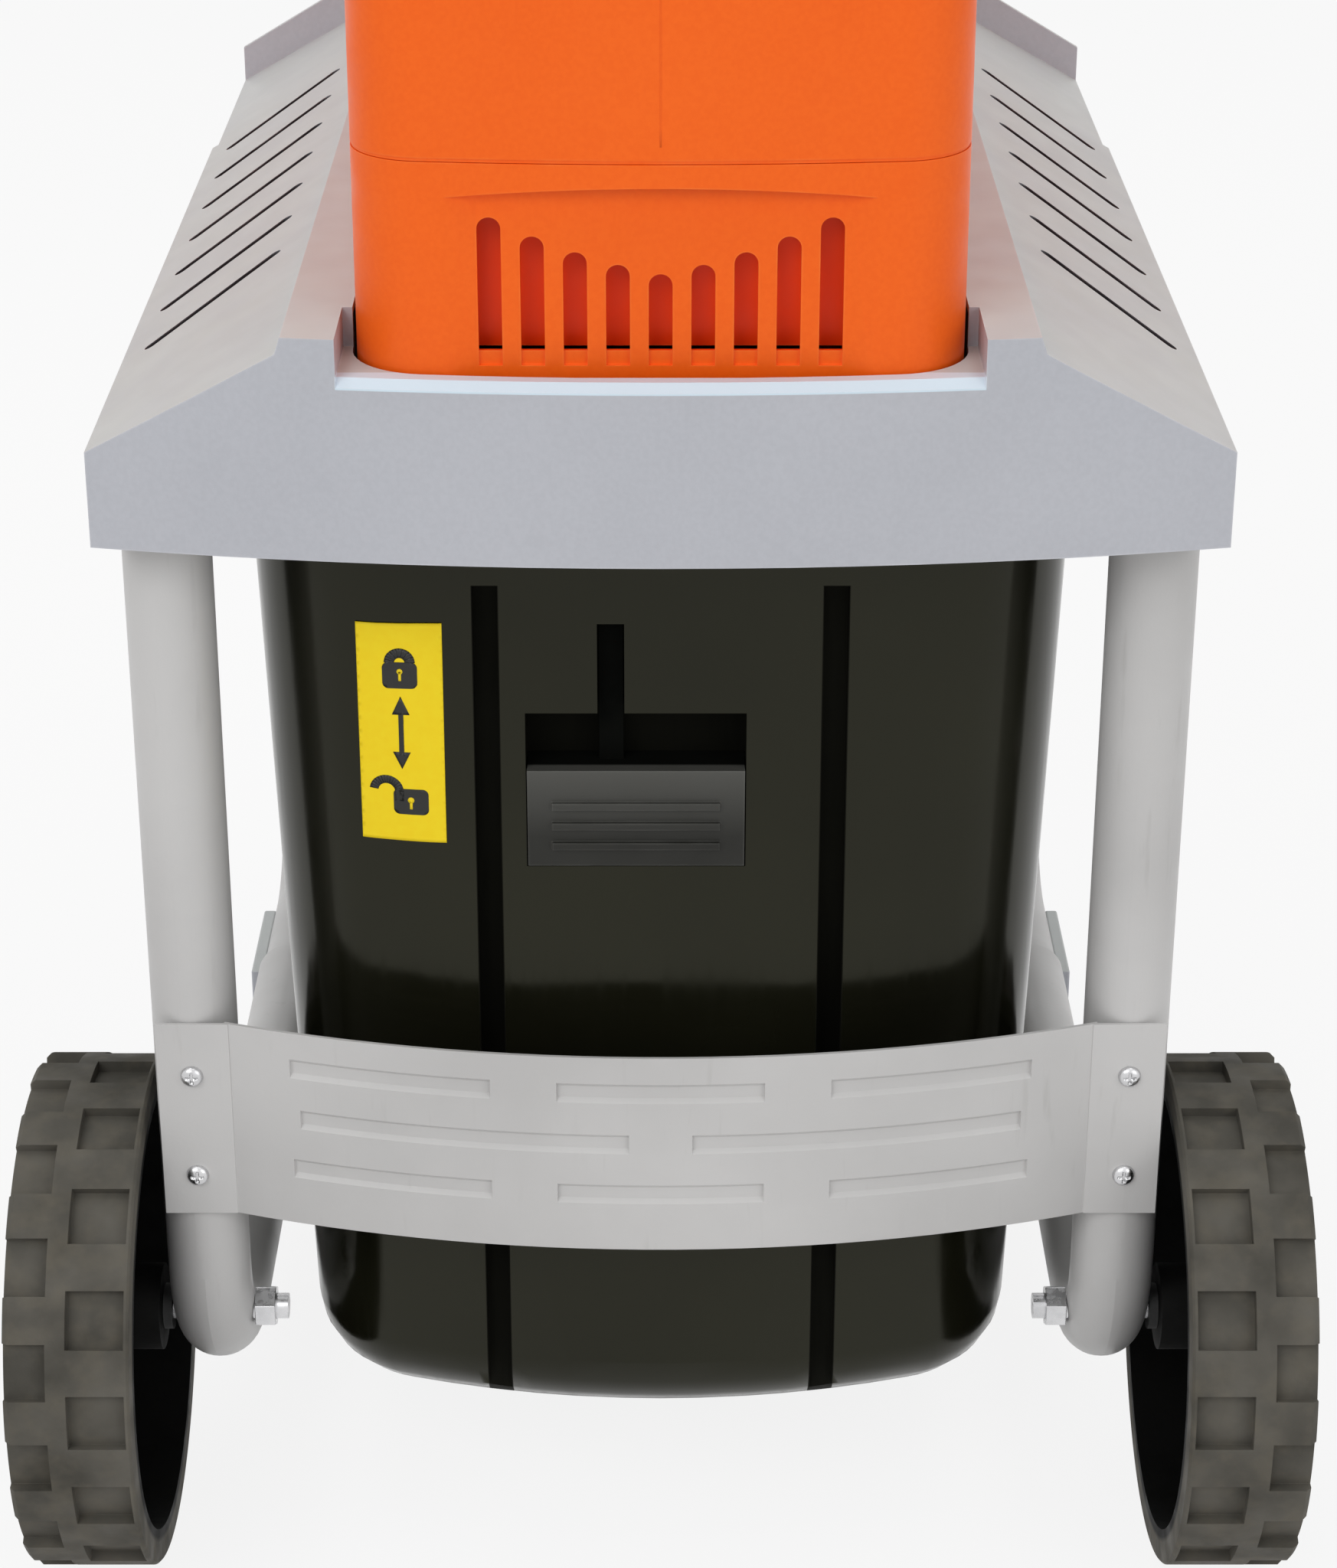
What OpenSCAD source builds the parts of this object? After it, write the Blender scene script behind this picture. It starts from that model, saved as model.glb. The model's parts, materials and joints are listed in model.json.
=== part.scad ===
// Roller garden shredder on a tube frame, with a pull-out collection box.
// Millimetres: X runs left to right, Y away from the wheels, Z up from the ground.
// The origin is on the ground, in the middle of the footprint.

/* [Tube frame] */
// Outside diameter of the front leg tubes
leg_d = 32; // [28:0.5:36]
// Wall of the frame tubes
tube_wall = 2; // [1.5:0.25:3]
// Clear distance from the box rim to the leg tubes
leg_clear = 10; // [10:0.5:20]
// Distance of the front legs before the middle
front_leg_y = 195; // [188:1:200]
// Distance of the rear legs behind the middle
rear_leg_y = 251; // [240:1:258]
// Bend radius of the tubes at their centre line
bend_r = 50; // [42:1:58]
// Height of the ground runs at their centre line
run_z = 78; // [70:1:88]
// Distance behind the middle at which the front tubes end
sleeve_end_y = 133; // [110:1:150]
// Depth to which the rear tubes are plugged into the front tubes
plug_depth = 60; // [40:1:90]
// Width of a rear foot
foot_w = 40; // [36:1:50]
// Length of a rear foot along its tube
foot_l = 64; // [50:1:80]

/* [Brace plate] */
// Lower edge of the plate above the ground
brace_z = 159; // [150:1:180]
// Height of the plate
brace_h = 82; // [76:1:95]
// Sheet thickness of the plate
brace_t = 1.5; // [1:0.25:2.5]
// Distance by which the middle bows forward
brace_bow = 26; // [18:1:34]
// Depth of the pressed ribs
bead_depth = 1.6; // [0.8:0.2:2.4]
// Width of a pressed rib
bead_w = 8; // [6:0.5:10]
// Distance from one row of ribs to the next
bead_row_pitch = 21.5; // [18:0.5:24]

/* [Wheels] */
// Diameter of the wheels over the tread
wheel_d = 200; // [184:2:216]
// Width of the wheels
wheel_w = 47; // [42:1:56]
// Number of pockets in each of the two rows of the tread
tread_pockets = 16; // [12:1:20]
// Depth of the tread pockets
tread_h = 4.5; // [3:0.5:6]
// Diameter of the axle bolts
axle_d = 10; // [8:0.5:12]
// Length of the spacers between legs and wheels
spacer_l = 4; // [3:0.5:12]

/* [Deck] */
// Lower edge of the deck above the ground
deck_z = 437; // [430:1:450]
// Wall of the deck moulding
deck_wall = 3; // [2:0.25:4]
// Distance from the leg tubes out to the deck sides
deck_margin = 6; // [5:0.5:12]
// Height of the upright sides
deck_side_h = 35; // [30:1:45]
// Width of each sloping roof
roof_w = 68; // [62:1:70]
// Rise of each sloping roof
roof_rise = 39; // [30:1:46]
// Step from the roof up to the shelf round the cover
shelf_rise = 6; // [3:0.5:10]
// Distance of the front corners before the middle
deck_front_y = 226; // [222:1:232]
// Distance by which the front wall bows forward
deck_bow = 20; // [16:1:26]
// Height of the ledge before the cover, below the shelf
ledge_drop = 14; // [8:1:20]
// Height of the raised lip at the far end
lip_h = 17; // [8:1:25]
// Distance by which the far part of each side is set in
side_step = 2.7; // [1:0.1:3]
// Length of that far part
side_step_l = 118; // [80:1:140]
// Number of slots in each roof
slot_count = 7; // [3:1:8]
// Width of a slot
slot_w = 5; // [3:0.5:7]
// Distance from one slot to the next
slot_pitch = 46; // [38:1:48]

/* [Cover and hopper] */
// Width of the motor cover
cover_w = 209; // [204:1:216]
// Length of the motor cover
cover_l = 473; // [466:1:476]
// Radius of its upright corners
cover_r = 26; // [20:1:30]
// Distance by which the cover front bows forward
cover_bow = 7; // [5:0.5:10]
// Depth to which the flat vent field is cut into the bow
vent_set = 6; // [4:0.5:7]
// Wall of the cover and hopper
cover_wall = 3; // [2:0.25:4]
// Distance of the cover front before the middle
cover_front_y = 237; // [233:1:239]
// Height of the seam between cover and hopper
seam_z = 576; // [570:1:590]
// Height at which the hopper begins to flare
flare_z = 705; // [680:1:740]
// Height of the hopper mouth
hopper_top = 900; // [860:1:940]
// Width of the hopper mouth
mouth_w = 296; // [270:2:320]
// Length of the hopper mouth
mouth_l = 490; // [474:2:510]
// Number of vent slots
vent_count = 9; // [5:2:11]
// Distance from one vent slot to the next
vent_pitch = 14.35; // [12:0.05:15]
// Width of a vent slot
vent_w = 8; // [5:0.5:9]
// Height of the lower ends of the vent slots
vent_z = 510; // [506:1:514]
// Length of the middle vent slot
vent_h = 27; // [20:1:32]

/* [Collection box] */
// Width of the box at its rim
box_w = 300; // [284:1:316]
// Length of the box at its rim
box_l = 414; // [390:1:416]
// Height of the rim
box_top = 430; // [427:0.5:432]
// Height of the box floor, outside
box_bottom = 60; // [50:1:80]
// Wall of the box
box_wall = 3.5; // [2.5:0.25:4.5]
// Distance by which each wall leans in from rim to floor
box_draft = 13; // [8:1:18]
// Distance by which the back leans in from rim to floor
box_end_draft = 6; // [3:0.5:10]
// Radius all round the box floor
box_floor_r = 30; // [15:1:36]
// Radius of the upright corners
box_r = 48; // [36:1:56]
// Distance of the box front before the middle
box_front_y = 199; // [196:1:201]
// Distance by which the front bows out at the floor
box_bow = 14; // [8:1:16]
// Distance of the two front grooves from the middle
groove_x = 63; // [56:1:72]
// Width of a groove
groove_w = 9; // [5:0.5:11]
// Depth of a groove
groove_d = 5.5; // [3:0.5:7]
// Width of the latch grip
grip_w = 79.5; // [70:0.5:88]
// Height of the latch grip
grip_h = 38.5; // [32:0.5:42]
// Height of the lower edge of the grip
grip_z = 303; // [295:1:310]
// Distance by which the latch slides up
latch_travel = 18; // [12:0.5:20]

/* [Drive] */
// Height of the motor, gear and drum axes
drive_z = 545; // [542:0.5:550]
// Distance of the drum axis behind the middle
drum_y = 8; // [4:1:12]
// Radius over the cutter teeth
drum_r = 44; // [38:0.5:46]
// Length of the cutter drum
drum_l = 90; // [80:1:94]
// Number of cutter teeth
drum_teeth = 8; // [6:1:10]
// Teeth of each pinion
pinion_teeth = 14; // [14:1:16]
// Teeth of each gear
gear_teeth = 54; // [50:2:54]
// Gear module of the first stage
first_module = 1.25; // [1.1:0.05:1.3]
// Gear module of the second stage
second_module = 1.5; // [1.4:0.05:1.5]
// Gear module of the third stage
third_module = 1.75; // [1.6:0.05:1.75]
// Diameter of the drum shaft
drum_shaft_d = 20; // [16:1:22]
// Diameter of the adjusting screw
adjust_d = 12; // [8:1:14]
// Thickness of the pressure plate behind the drum
plate_t = 15; // [12:0.5:18]
// Radius of the motor can
motor_r = 52; // [46:1:54]
// Length of the motor can
motor_l = 120; // [100:1:124]

/* [Fits] */
// Radial play of parts that turn on a pin or shaft
run_fit = 0.05; // [0.02:0.01:0.1]
// Play of parts that slide in guides
slide_gap = 0.4; // [0.3:0.05:0.8]
// Gap between fixed pieces that are assembled
seat_gap = 0.2; // [0.1:0.05:0.4]

/* [Hidden] */
$fn = 64;

// Frame
leg_r = leg_d / 2;
leg_x = box_w / 2 + leg_clear + leg_r;
rear_r = leg_r - tube_wall - seat_gap;
bend_z = run_z + bend_r;
axle_z = wheel_d / 2;
tyre_r = wheel_d / 2 - tread_h;
wheel_facets = 180;
axle_y = -front_leg_y + bend_r - bend_r * cos(asin((bend_z - axle_z) / bend_r));
wheel_x = leg_x + leg_r + spacer_l;
screw_d = 5;
hub_r = axle_d / 2 + 12;
hub_h = wheel_w - 12;
cap_r = hub_r + 5;
cap_h = 11;
nut_d = 1.7 * axle_d;
nut_h = 8;
axle_inner = spacer_l + leg_d + 13;
end_play = 0.3;
brace_y = -front_leg_y - leg_r - seat_gap;
brace_half = leg_x + leg_r - 3;
bow_half = leg_x - leg_r;
bow_r = (bow_half * bow_half + brace_bow * brace_bow) / (2 * brace_bow);
bow_y = brace_y - brace_bow + bow_r;
bow_facets = 360;
sheet_r = bow_r + brace_t;
bead_rows = [[3, 77, 101], [2, 125, 148], [3, 77, 101]];

// Deck and chassis
deck_half = leg_x + leg_r + deck_margin;
deck_back = -axle_y + wheel_d / 2;
deck_bow_r = (deck_half * deck_half + deck_bow * deck_bow) / (2 * deck_bow);
deck_bow_y = -deck_front_y - deck_bow + deck_bow_r;
eave_z = deck_z + deck_side_h;
ridge_z = eave_z + roof_rise;
shelf_z = ridge_z + shelf_rise;
ridge_x = deck_half - roof_w;
shelf_x = ridge_x - 2;
roof_t = deck_wall * sqrt(1 + pow(roof_rise / roof_w, 2));
ledge_z = shelf_z - ledge_drop;
ledge_half = cover_w / 2 + 5;
ledge_slope = 3;
chassis_z = deck_z + 3;
chassis_t = 4;
chassis_top = chassis_z + chassis_t;
socket_h = 20;
leg_top = chassis_top + socket_h;
socket_wall = 3;
boss_x = ridge_x + 5.5;
boss_r = 5;
boss_top = eave_z + (deck_half - boss_x - boss_r) * roof_rise / roof_w - 1;
boss_ys = [-165, 20, 205];
boss_screw_d = 3.6;
boss_bore = 4;
opening_gap = 1.5;
cover_y = cover_l / 2 - cover_front_y;
cover_bow_r = (cover_w * cover_w / 4 + cover_bow * cover_bow) / (2 * cover_bow);

// Collection box, its rails and its latch
rail_t = 3;
rail_gap = 1;
flange_w = leg_clear - rail_t - 2 * rail_gap;
flange_t = 4.5;
flange_z = box_top - 8;
rail_x = box_w / 2 + flange_w + rail_gap;
rail_lip_x = box_w / 2 + flange_w / 2;
rail_z = flange_z - slide_gap - rail_t;
rail_front = 52;
rail_l = 389;
tongue_x = -18;
tongue_w = 9;
tongue_t = 2.5;
tongue_y = -box_front_y + 6.5;
grip_x = -9;
grip_out = 5.5;
slab_t = 0.05;
box_bow_steps = 6;
pocket_depth = 13;
runner_x = 2;
runner_t = 2.6;
runner_y = -box_front_y + pocket_depth - 5;
keeper_z = box_top - 11;
tongue_top = keeper_z - 2;
plunger_tip_z = tongue_top + latch_travel + slide_gap;
plunger_d = 5;

// Hopper
rim_h = 30;

// Drive train
gear_modules = [first_module, second_module, third_module];
stage_teeth = pinion_teeth + gear_teeth;
stage_gaps = [for (m = gear_modules) m * stage_teeth / 2];
second_y = drum_y - stage_gaps[2];
first_y = second_y - stage_gaps[1];
motor_y = first_y - stage_gaps[0];
drum_gap = 3;
housing_wall = 8;
housing_in = drum_l / 2 + drum_gap;
housing_out = housing_in + housing_wall;
housing_top = drive_z + drum_r + 11;
case_x = housing_out + 1;
case_wall = 3.5;
plane_a = case_x + case_wall + 2;
plane_w = 12;
plane_b = plane_a + plane_w + 1.5;
case_end = plane_b + plane_w + 2.5;
case_lid = 3.5;
case_r_drum = gear_modules[2] * (gear_teeth / 2 + 1) + 3;
case_r_motor = gear_modules[0] * (gear_teeth / 2 + 1) - 1;
pin_r = 5;
motor_shaft_r = 6;
motor_wall = 3;
motor_end = case_x - motor_l;
core_l = motor_l - 44;
core_x = motor_end + 22;
core_r = motor_r * 0.6;
pressure_angle = 25;
tooth_slack = 0.2;
bearing_r = drum_shaft_d / 2 + 11;
plate_gap = 1;
plate_y = drum_y + drum_r + plate_gap;
plate_h = 60;
plate_boss = 12;
screw_tip = plate_y + 9;
bush_y = drum_y + 92;
cover_back_y = -cover_front_y + cover_l;
vent_y = -cover_front_y + vent_set;
vent_half = vent_count * vent_pitch / 2 - 3;
panel_x = -45;
panel_z = 640;
panel_t = 20;
panel_w = 80;
panel_h = 92;
panel_front = cover_back_y + panel_t;
button_travel = 4;
button_r = 11;
button_x = 18;
button_z = 22;
reset_r = 5;
reset_x = 22;
reset_z = -28;
well_depth = 14;
knob_x = -14;
knob_z = -20;
knob_r = 14;
spindle_r = 4;

// Shared forms

module mirrored() {
    mirror([1, 0, 0])
        children();
}

module both_sides() {
    children();
    mirrored() children();
}

// Turns an outline drawn in X and Y so that it stands in Y and Z and is extruded along X
module along_x() {
    rotate([90, 0, 90])
        children();
}

module rounded_rect(w, l, r) {
    square([w - 2 * r, l], center = true);
    square([w, l - 2 * r], center = true);
    for (x = [-1, 1], y = [-1, 1])
        translate([x * (w / 2 - r), y * (l / 2 - r)])
            circle(r = r);
}

module stadium(l, w) {
    square([l - w, w], center = true);
    for (x = [-1, 1])
        translate([x * (l - w) / 2, 0])
            circle(d = w);
}

module quarter_bend(r) {
    rotate_extrude(angle = 90)
        translate([bend_r, 0])
            circle(r = r);
}

// Tube frame

module front_path(r, over = 0) {
    translate([leg_x, -front_leg_y, bend_z])
        cylinder(r = r, h = leg_top - bend_z + over);
    translate([leg_x, -front_leg_y + bend_r, bend_z])
        rotate([0, 90, 0])
            rotate([0, 0, -90])
                quarter_bend(r);
    translate([leg_x, -front_leg_y + bend_r, run_z])
        rotate([-90, 0, 0])
            cylinder(r = r, h = sleeve_end_y + front_leg_y - bend_r + over);
}

module rear_path(r, over = 0) {
    start_y = sleeve_end_y - plug_depth - over;
    translate([leg_x, start_y, run_z])
        rotate([-90, 0, 0])
            cylinder(r = r, h = rear_leg_y - bend_r - start_y);
    translate([leg_x, rear_leg_y - bend_r, bend_z])
        rotate([0, 90, 0])
            quarter_bend(r);
    translate([leg_x, rear_leg_y, bend_z])
        cylinder(r = r, h = leg_top - bend_z + over);
}

module axle_line(d, x_from, x_to) {
    translate([x_from, axle_y, axle_z])
        rotate([0, 90, 0])
            cylinder(d = d, h = x_to - x_from);
}

module brace_screw_places() {
    for (z = [brace_z + 17, brace_z + brace_h - 22])
        translate([leg_x, brace_y - brace_t, z])
            rotate([-90, 0, 0])
                children();
}

module leg_tube() {
    color([0.73, 0.72, 0.70])
        difference() {
            front_path(leg_r);
            front_path(leg_r - tube_wall, 1);
            axle_line(axle_d + 2 * seat_gap, leg_x - leg_d, leg_x + leg_d);
            brace_screw_places()
                cylinder(d = screw_d + 2 * seat_gap, h = leg_r);
        }
}

module rear_tube() {
    color([0.73, 0.72, 0.70])
        difference() {
            rear_path(rear_r);
            rear_path(rear_r - tube_wall, 1);
        }
}

// A moulded foot with a half-round saddle that the straight part of the rear tube rests in
module foot() {
    half = foot_w / 2;
    color([0.70, 0.71, 0.74])
        translate([leg_x, rear_leg_y - bend_r - 1, 0])
            difference() {
                rotate([90, 0, 0])
                    linear_extrude(foot_l)
                        polygon([[-half - 4, 0], [half + 4, 0], [half + 4, 8], [half, 22], [half, run_z],
                                 [-half, run_z], [-half, 22], [-half - 4, 8]]);
                translate([0, -foot_l - 1, run_z])
                    rotate([-90, 0, 0])
                        cylinder(r = rear_r + seat_gap, h = foot_l + 2);
            }
}

// Front brace: a bent sheet, flat over the legs and bowed between them, with pressed ribs

module bow_ring(r_in, r_out) {
    translate([0, bow_y])
        difference() {
            circle(r = r_out, $fn = bow_facets);
            circle(r = r_in, $fn = bow_facets);
        }
}

// A bar bent along the sheet, of length l, at a distance x from the middle and a height z,
// from the radius r_from, where its half height is low, to r_to, where it is high
module bent_bar(l, x, z, r_from, low, r_to, high) {
    half_turn = l / (2 * sheet_r) * 180 / PI;
    translate([0, bow_y, z])
        rotate([0, 0, asin(x / sheet_r) - half_turn - 90])
            rotate_extrude(angle = 2 * half_turn, $fn = bow_facets)
                polygon([[r_from, -low], [r_to, -high], [r_to, high], [r_from, low]]);
}

module rib_places() {
    rib_mid_z = brace_z + brace_h / 2 + 4.5;
    for (row = [0 : len(bead_rows) - 1])
        for (k = [0 : bead_rows[row][0] - 1]) {
            $rib_l = bead_rows[row][1];
            $rib_x = (k - (bead_rows[row][0] - 1) / 2) * bead_rows[row][2];
            $rib_z = rib_mid_z + (1 - row) * bead_row_pitch;
            children();
        }
}

module front_brace() {
    floor_w = bead_w / 2 - bead_depth;
    back_r = bow_r - bead_depth;
    color([0.75, 0.75, 0.74])
        difference() {
            union() {
                translate([0, 0, brace_z])
                    linear_extrude(brace_h) {
                        intersection() {
                            bow_ring(bow_r, sheet_r);
                            translate([-bow_half - 2 * brace_t, brace_y - 2 * brace_bow])
                                square([2 * bow_half + 4 * brace_t, 2 * brace_bow + 4 * brace_t]);
                        }
                        for (side = [-1, 1])
                            translate([side * (bow_half + brace_t + brace_half) / 2, brace_y - brace_t / 2])
                                square([brace_half - bow_half - brace_t, brace_t], center = true);
                    }
                rib_places()
                    bent_bar($rib_l + 2 * brace_t, $rib_x, $rib_z, back_r, floor_w + brace_t,
                             bow_r + brace_t / 2, bead_w / 2 + 1.5 * brace_t);
            }
            rib_places()
                bent_bar($rib_l, $rib_x, $rib_z, sheet_r - bead_depth, floor_w, sheet_r + 1, bead_w / 2 + 1);
            both_sides()
                brace_screw_places()
                    cylinder(d = screw_d + 2 * seat_gap, h = 4 * brace_t, center = true);
        }
}

module pan_screw(d, l) {
    head_h = d / 2;
    translate([0, 0, -head_h])
        cylinder(d = 1.8 * d, h = head_h);
    cylinder(d = d, h = l);
}

module brace_screws() {
    color("silver")
        both_sides()
            brace_screw_places()
                pan_screw(screw_d, tube_wall + 10);
}

// Wheels and their stub axles, drawn on the right-hand side

module at_right_wheel() {
    translate([wheel_x, axle_y, axle_z])
        rotate([0, 90, 0])
            children();
}

// One row of tread pockets, seen along the axle
module pocket_row(turn) {
    pocket_l = 0.55 * PI * wheel_d / tread_pockets;
    difference() {
        for (i = [0 : tread_pockets - 1])
            rotate((i + turn) * 360 / tread_pockets)
                translate([tyre_r - 2, -pocket_l / 2])
                    square([tread_h + 4, pocket_l]);
        circle(r = tyre_r, $fn = wheel_facets);
    }
}

module wheel() {
    rim_r = tyre_r - 9;
    tread_r = wheel_d / 2;
    shoulder = 2;
    pocket_edge = 2;
    band_from = 0.5 * wheel_w;
    band_to = 0.66 * wheel_w;
    spoke_count = 6;
    color([0.33, 0.32, 0.29])
        at_right_wheel()
            difference() {
                union() {
                    rotate_extrude($fn = wheel_facets)
                        polygon([[0, 0], [hub_r, 0], [hub_r, hub_h - 13], [rim_r, hub_h - 6], [rim_r, 0],
                                 [tread_r - shoulder / 2, 0], [tread_r, shoulder / 2],
                                 [tread_r, wheel_w - shoulder], [tread_r - shoulder, wheel_w],
                                 [rim_r, wheel_w], [rim_r, hub_h], [0, hub_h]]);
                    for (i = [0 : spoke_count - 1])
                        rotate([0, 0, i * 360 / spoke_count])
                            translate([cap_r + 1, -2, hub_h - 1])
                                cube([rim_r - cap_r, 4, 8]);
                }
                translate([0, 0, pocket_edge])
                    linear_extrude(band_from - pocket_edge)
                        pocket_row(2 / 3);
                translate([0, 0, band_to])
                    linear_extrude(wheel_w)
                        pocket_row(1 / 6);
                translate([0, 0, -1])
                    cylinder(d = axle_d + 2 * run_fit, h = wheel_w);
            }
}

module hub_cap() {
    color([0.2, 0.2, 0.2])
        at_right_wheel()
            translate([0, 0, hub_h])
                difference() {
                    cylinder(r = cap_r, h = cap_h);
                    translate([0, 0, -1])
                        cylinder(r = cap_r - 2.5, h = cap_h - 1);
                }
}

module axle() {
    color("silver")
        at_right_wheel() {
            translate([0, 0, -axle_inner])
                cylinder(d = axle_d, h = axle_inner + hub_h + 1);
            translate([0, 0, hub_h + end_play])
                cylinder(d = 2 * axle_d, h = 2);
            translate([0, 0, hub_h + end_play + 1])
                cylinder(d = nut_d, h = 6, $fn = 6);
        }
}

module axle_nuts() {
    color("silver")
        both_sides()
            at_right_wheel()
                translate([0, 0, -spacer_l - leg_d - nut_h - seat_gap])
                    difference() {
                        cylinder(d = nut_d, h = nut_h, $fn = 6);
                        translate([0, 0, -1])
                            cylinder(d = axle_d + 2 * seat_gap, h = nut_h + 2);
                    }
}

module hub_spacers() {
    color([0.2, 0.2, 0.2])
        both_sides()
            at_right_wheel()
                translate([0, 0, -spacer_l + seat_gap])
                    difference() {
                        cylinder(d = axle_d + 8, h = spacer_l - end_play - seat_gap);
                        translate([0, 0, -1])
                            cylinder(d = axle_d + 2 * seat_gap, h = spacer_l + 2);
                    }
}

// Deck

// Outline of the deck seen from above, drawn in by an even distance
module deck_plan(inset) {
    step_y = deck_back - side_step_l;
    intersection() {
        translate([0, deck_bow_y])
            circle(r = deck_bow_r - inset, $fn = 720);
        union() {
            translate([-deck_half + inset, -deck_front_y - deck_bow])
                square([2 * (deck_half - inset), step_y + deck_front_y + deck_bow - inset]);
            translate([-deck_half + side_step + inset, -deck_front_y - deck_bow])
                square([2 * (deck_half - side_step - inset), deck_back + deck_front_y + deck_bow - inset]);
        }
    }
}

// Outline of the deck seen from the front, solid
module deck_section() {
    polygon([[-deck_half, deck_z], [deck_half, deck_z], [deck_half, eave_z], [ridge_x, ridge_z],
             [shelf_x, shelf_z], [-shelf_x, shelf_z], [-ridge_x, ridge_z], [-deck_half, eave_z]]);
}

// The same outline inside the wall, open at the bottom
module deck_hollow_section() {
    half = deck_half - deck_wall;
    low_z = deck_z - 1;
    slope = roof_rise / roof_w;
    eave_in = eave_z + deck_wall * slope - roof_t;
    polygon([[-half, low_z], [half, low_z], [half, eave_in], [ridge_x, ridge_z - roof_t],
             [shelf_x - deck_wall, shelf_z - deck_wall], [-shelf_x + deck_wall, shelf_z - deck_wall],
             [-ridge_x, ridge_z - roof_t], [-half, eave_in]]);
}

module along_deck() {
    translate([0, deck_back, 0])
        rotate([90, 0, 0])
            linear_extrude(deck_back + deck_front_y + deck_bow)
                children();
}

module deck_boss_places() {
    both_sides()
        for (y = boss_ys)
            translate([boss_x, y, 0])
                children();
}

module deck_slot(i) {
    reach = 43;
    slant = 33;
    run = sqrt(reach * reach + slant * slant);
    translate([deck_half - 11, -deck_front_y + 98 + i * slot_pitch, deck_z + 10])
        rotate([0, 0, atan2(slant, -reach)])
            translate([run / 2, 0, 0])
                linear_extrude(shelf_z)
                    stadium(run + slot_w, slot_w);
}

// The block of space before the cover where the front wall is lower
module ledge_block(grow) {
    half = ledge_half + grow;
    depth = deck_front_y + deck_bow + 1 - cover_front_y + cover_bow + cover_r;
    translate([-half, -deck_front_y - deck_bow - 1, ledge_z - grow])
        cube([2 * half, depth + grow, ledge_drop + grow + 1]);
}

// The sloping edge along the front of the ledge
module ledge_edge() {
    intersection() {
        translate([0, deck_bow_y, ledge_z])
            rotate_extrude($fn = 720)
                polygon([[deck_bow_r - ledge_slope - 1, 1], [deck_bow_r + 1, 1],
                         [deck_bow_r + 1, -ledge_slope - 1]]);
        translate([-ledge_half, -deck_front_y - 2 * deck_bow, ledge_z - ledge_drop])
            cube([2 * ledge_half, 2 * deck_bow, 2 * ledge_drop]);
    }
}

module far_lip() {
    half = deck_half - side_step;
    translate([0, deck_back, 0])
        rotate([90, 0, 0])
            linear_extrude(deck_wall)
                polygon([[-half, eave_z - deck_wall], [half, eave_z - deck_wall], [half, eave_z + lip_h],
                         [ridge_x, ridge_z + lip_h], [-ridge_x, ridge_z + lip_h], [-half, eave_z + lip_h]]);
}

module deck() {
    color([0.70, 0.71, 0.74])
        difference() {
            union() {
                difference() {
                    intersection() {
                        along_deck() deck_section();
                        linear_extrude(shelf_z + 1)
                            deck_plan(0);
                    }
                    difference() {
                        intersection() {
                            along_deck() deck_hollow_section();
                            linear_extrude(shelf_z + 1)
                                deck_plan(deck_wall);
                        }
                        ledge_block(deck_wall);
                    }
                }
                deck_boss_places()
                    translate([0, 0, chassis_top])
                        cylinder(r = boss_r, h = boss_top - chassis_top);
                far_lip();
            }
            ledge_block(0);
            ledge_edge();
            translate([0, 0, chassis_top])
                linear_extrude(shelf_z)
                    cover_plan(-opening_gap);
            both_sides()
                for (i = [0 : slot_count - 1])
                    deck_slot(i);
            deck_boss_places()
                translate([0, 0, chassis_top - 1])
                    cylinder(d = boss_bore, h = 24);
        }
}

// Chassis: the base inside the deck rim, with sockets for the legs

module leg_places() {
    both_sides() {
        translate([leg_x, -front_leg_y, 0])
            children(0);
        translate([leg_x, rear_leg_y, 0])
            children(1);
    }
}

module body_screw_places() {
    inset = cover_wall + 5;
    both_sides()
        for (y = [-cover_front_y + cover_r, cover_back_y - cover_r])
            translate([cover_w / 2 - inset, y, 0])
                children();
}

module latch_keeper() {
    cheek = 3;
    gap_w = tongue_w + 2 * slide_gap;
    translate([tongue_x, tongue_y, keeper_z])
        difference() {
            translate([-gap_w / 2 - cheek, -tongue_t / 2, 0])
                cube([gap_w + 2 * cheek, tongue_t + slide_gap + cheek, chassis_z - keeper_z + 1]);
            translate([-gap_w / 2, -tongue_t, -1])
                cube([gap_w, 1.5 * tongue_t + slide_gap, chassis_z - keeper_z + 1]);
        }
}

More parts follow.
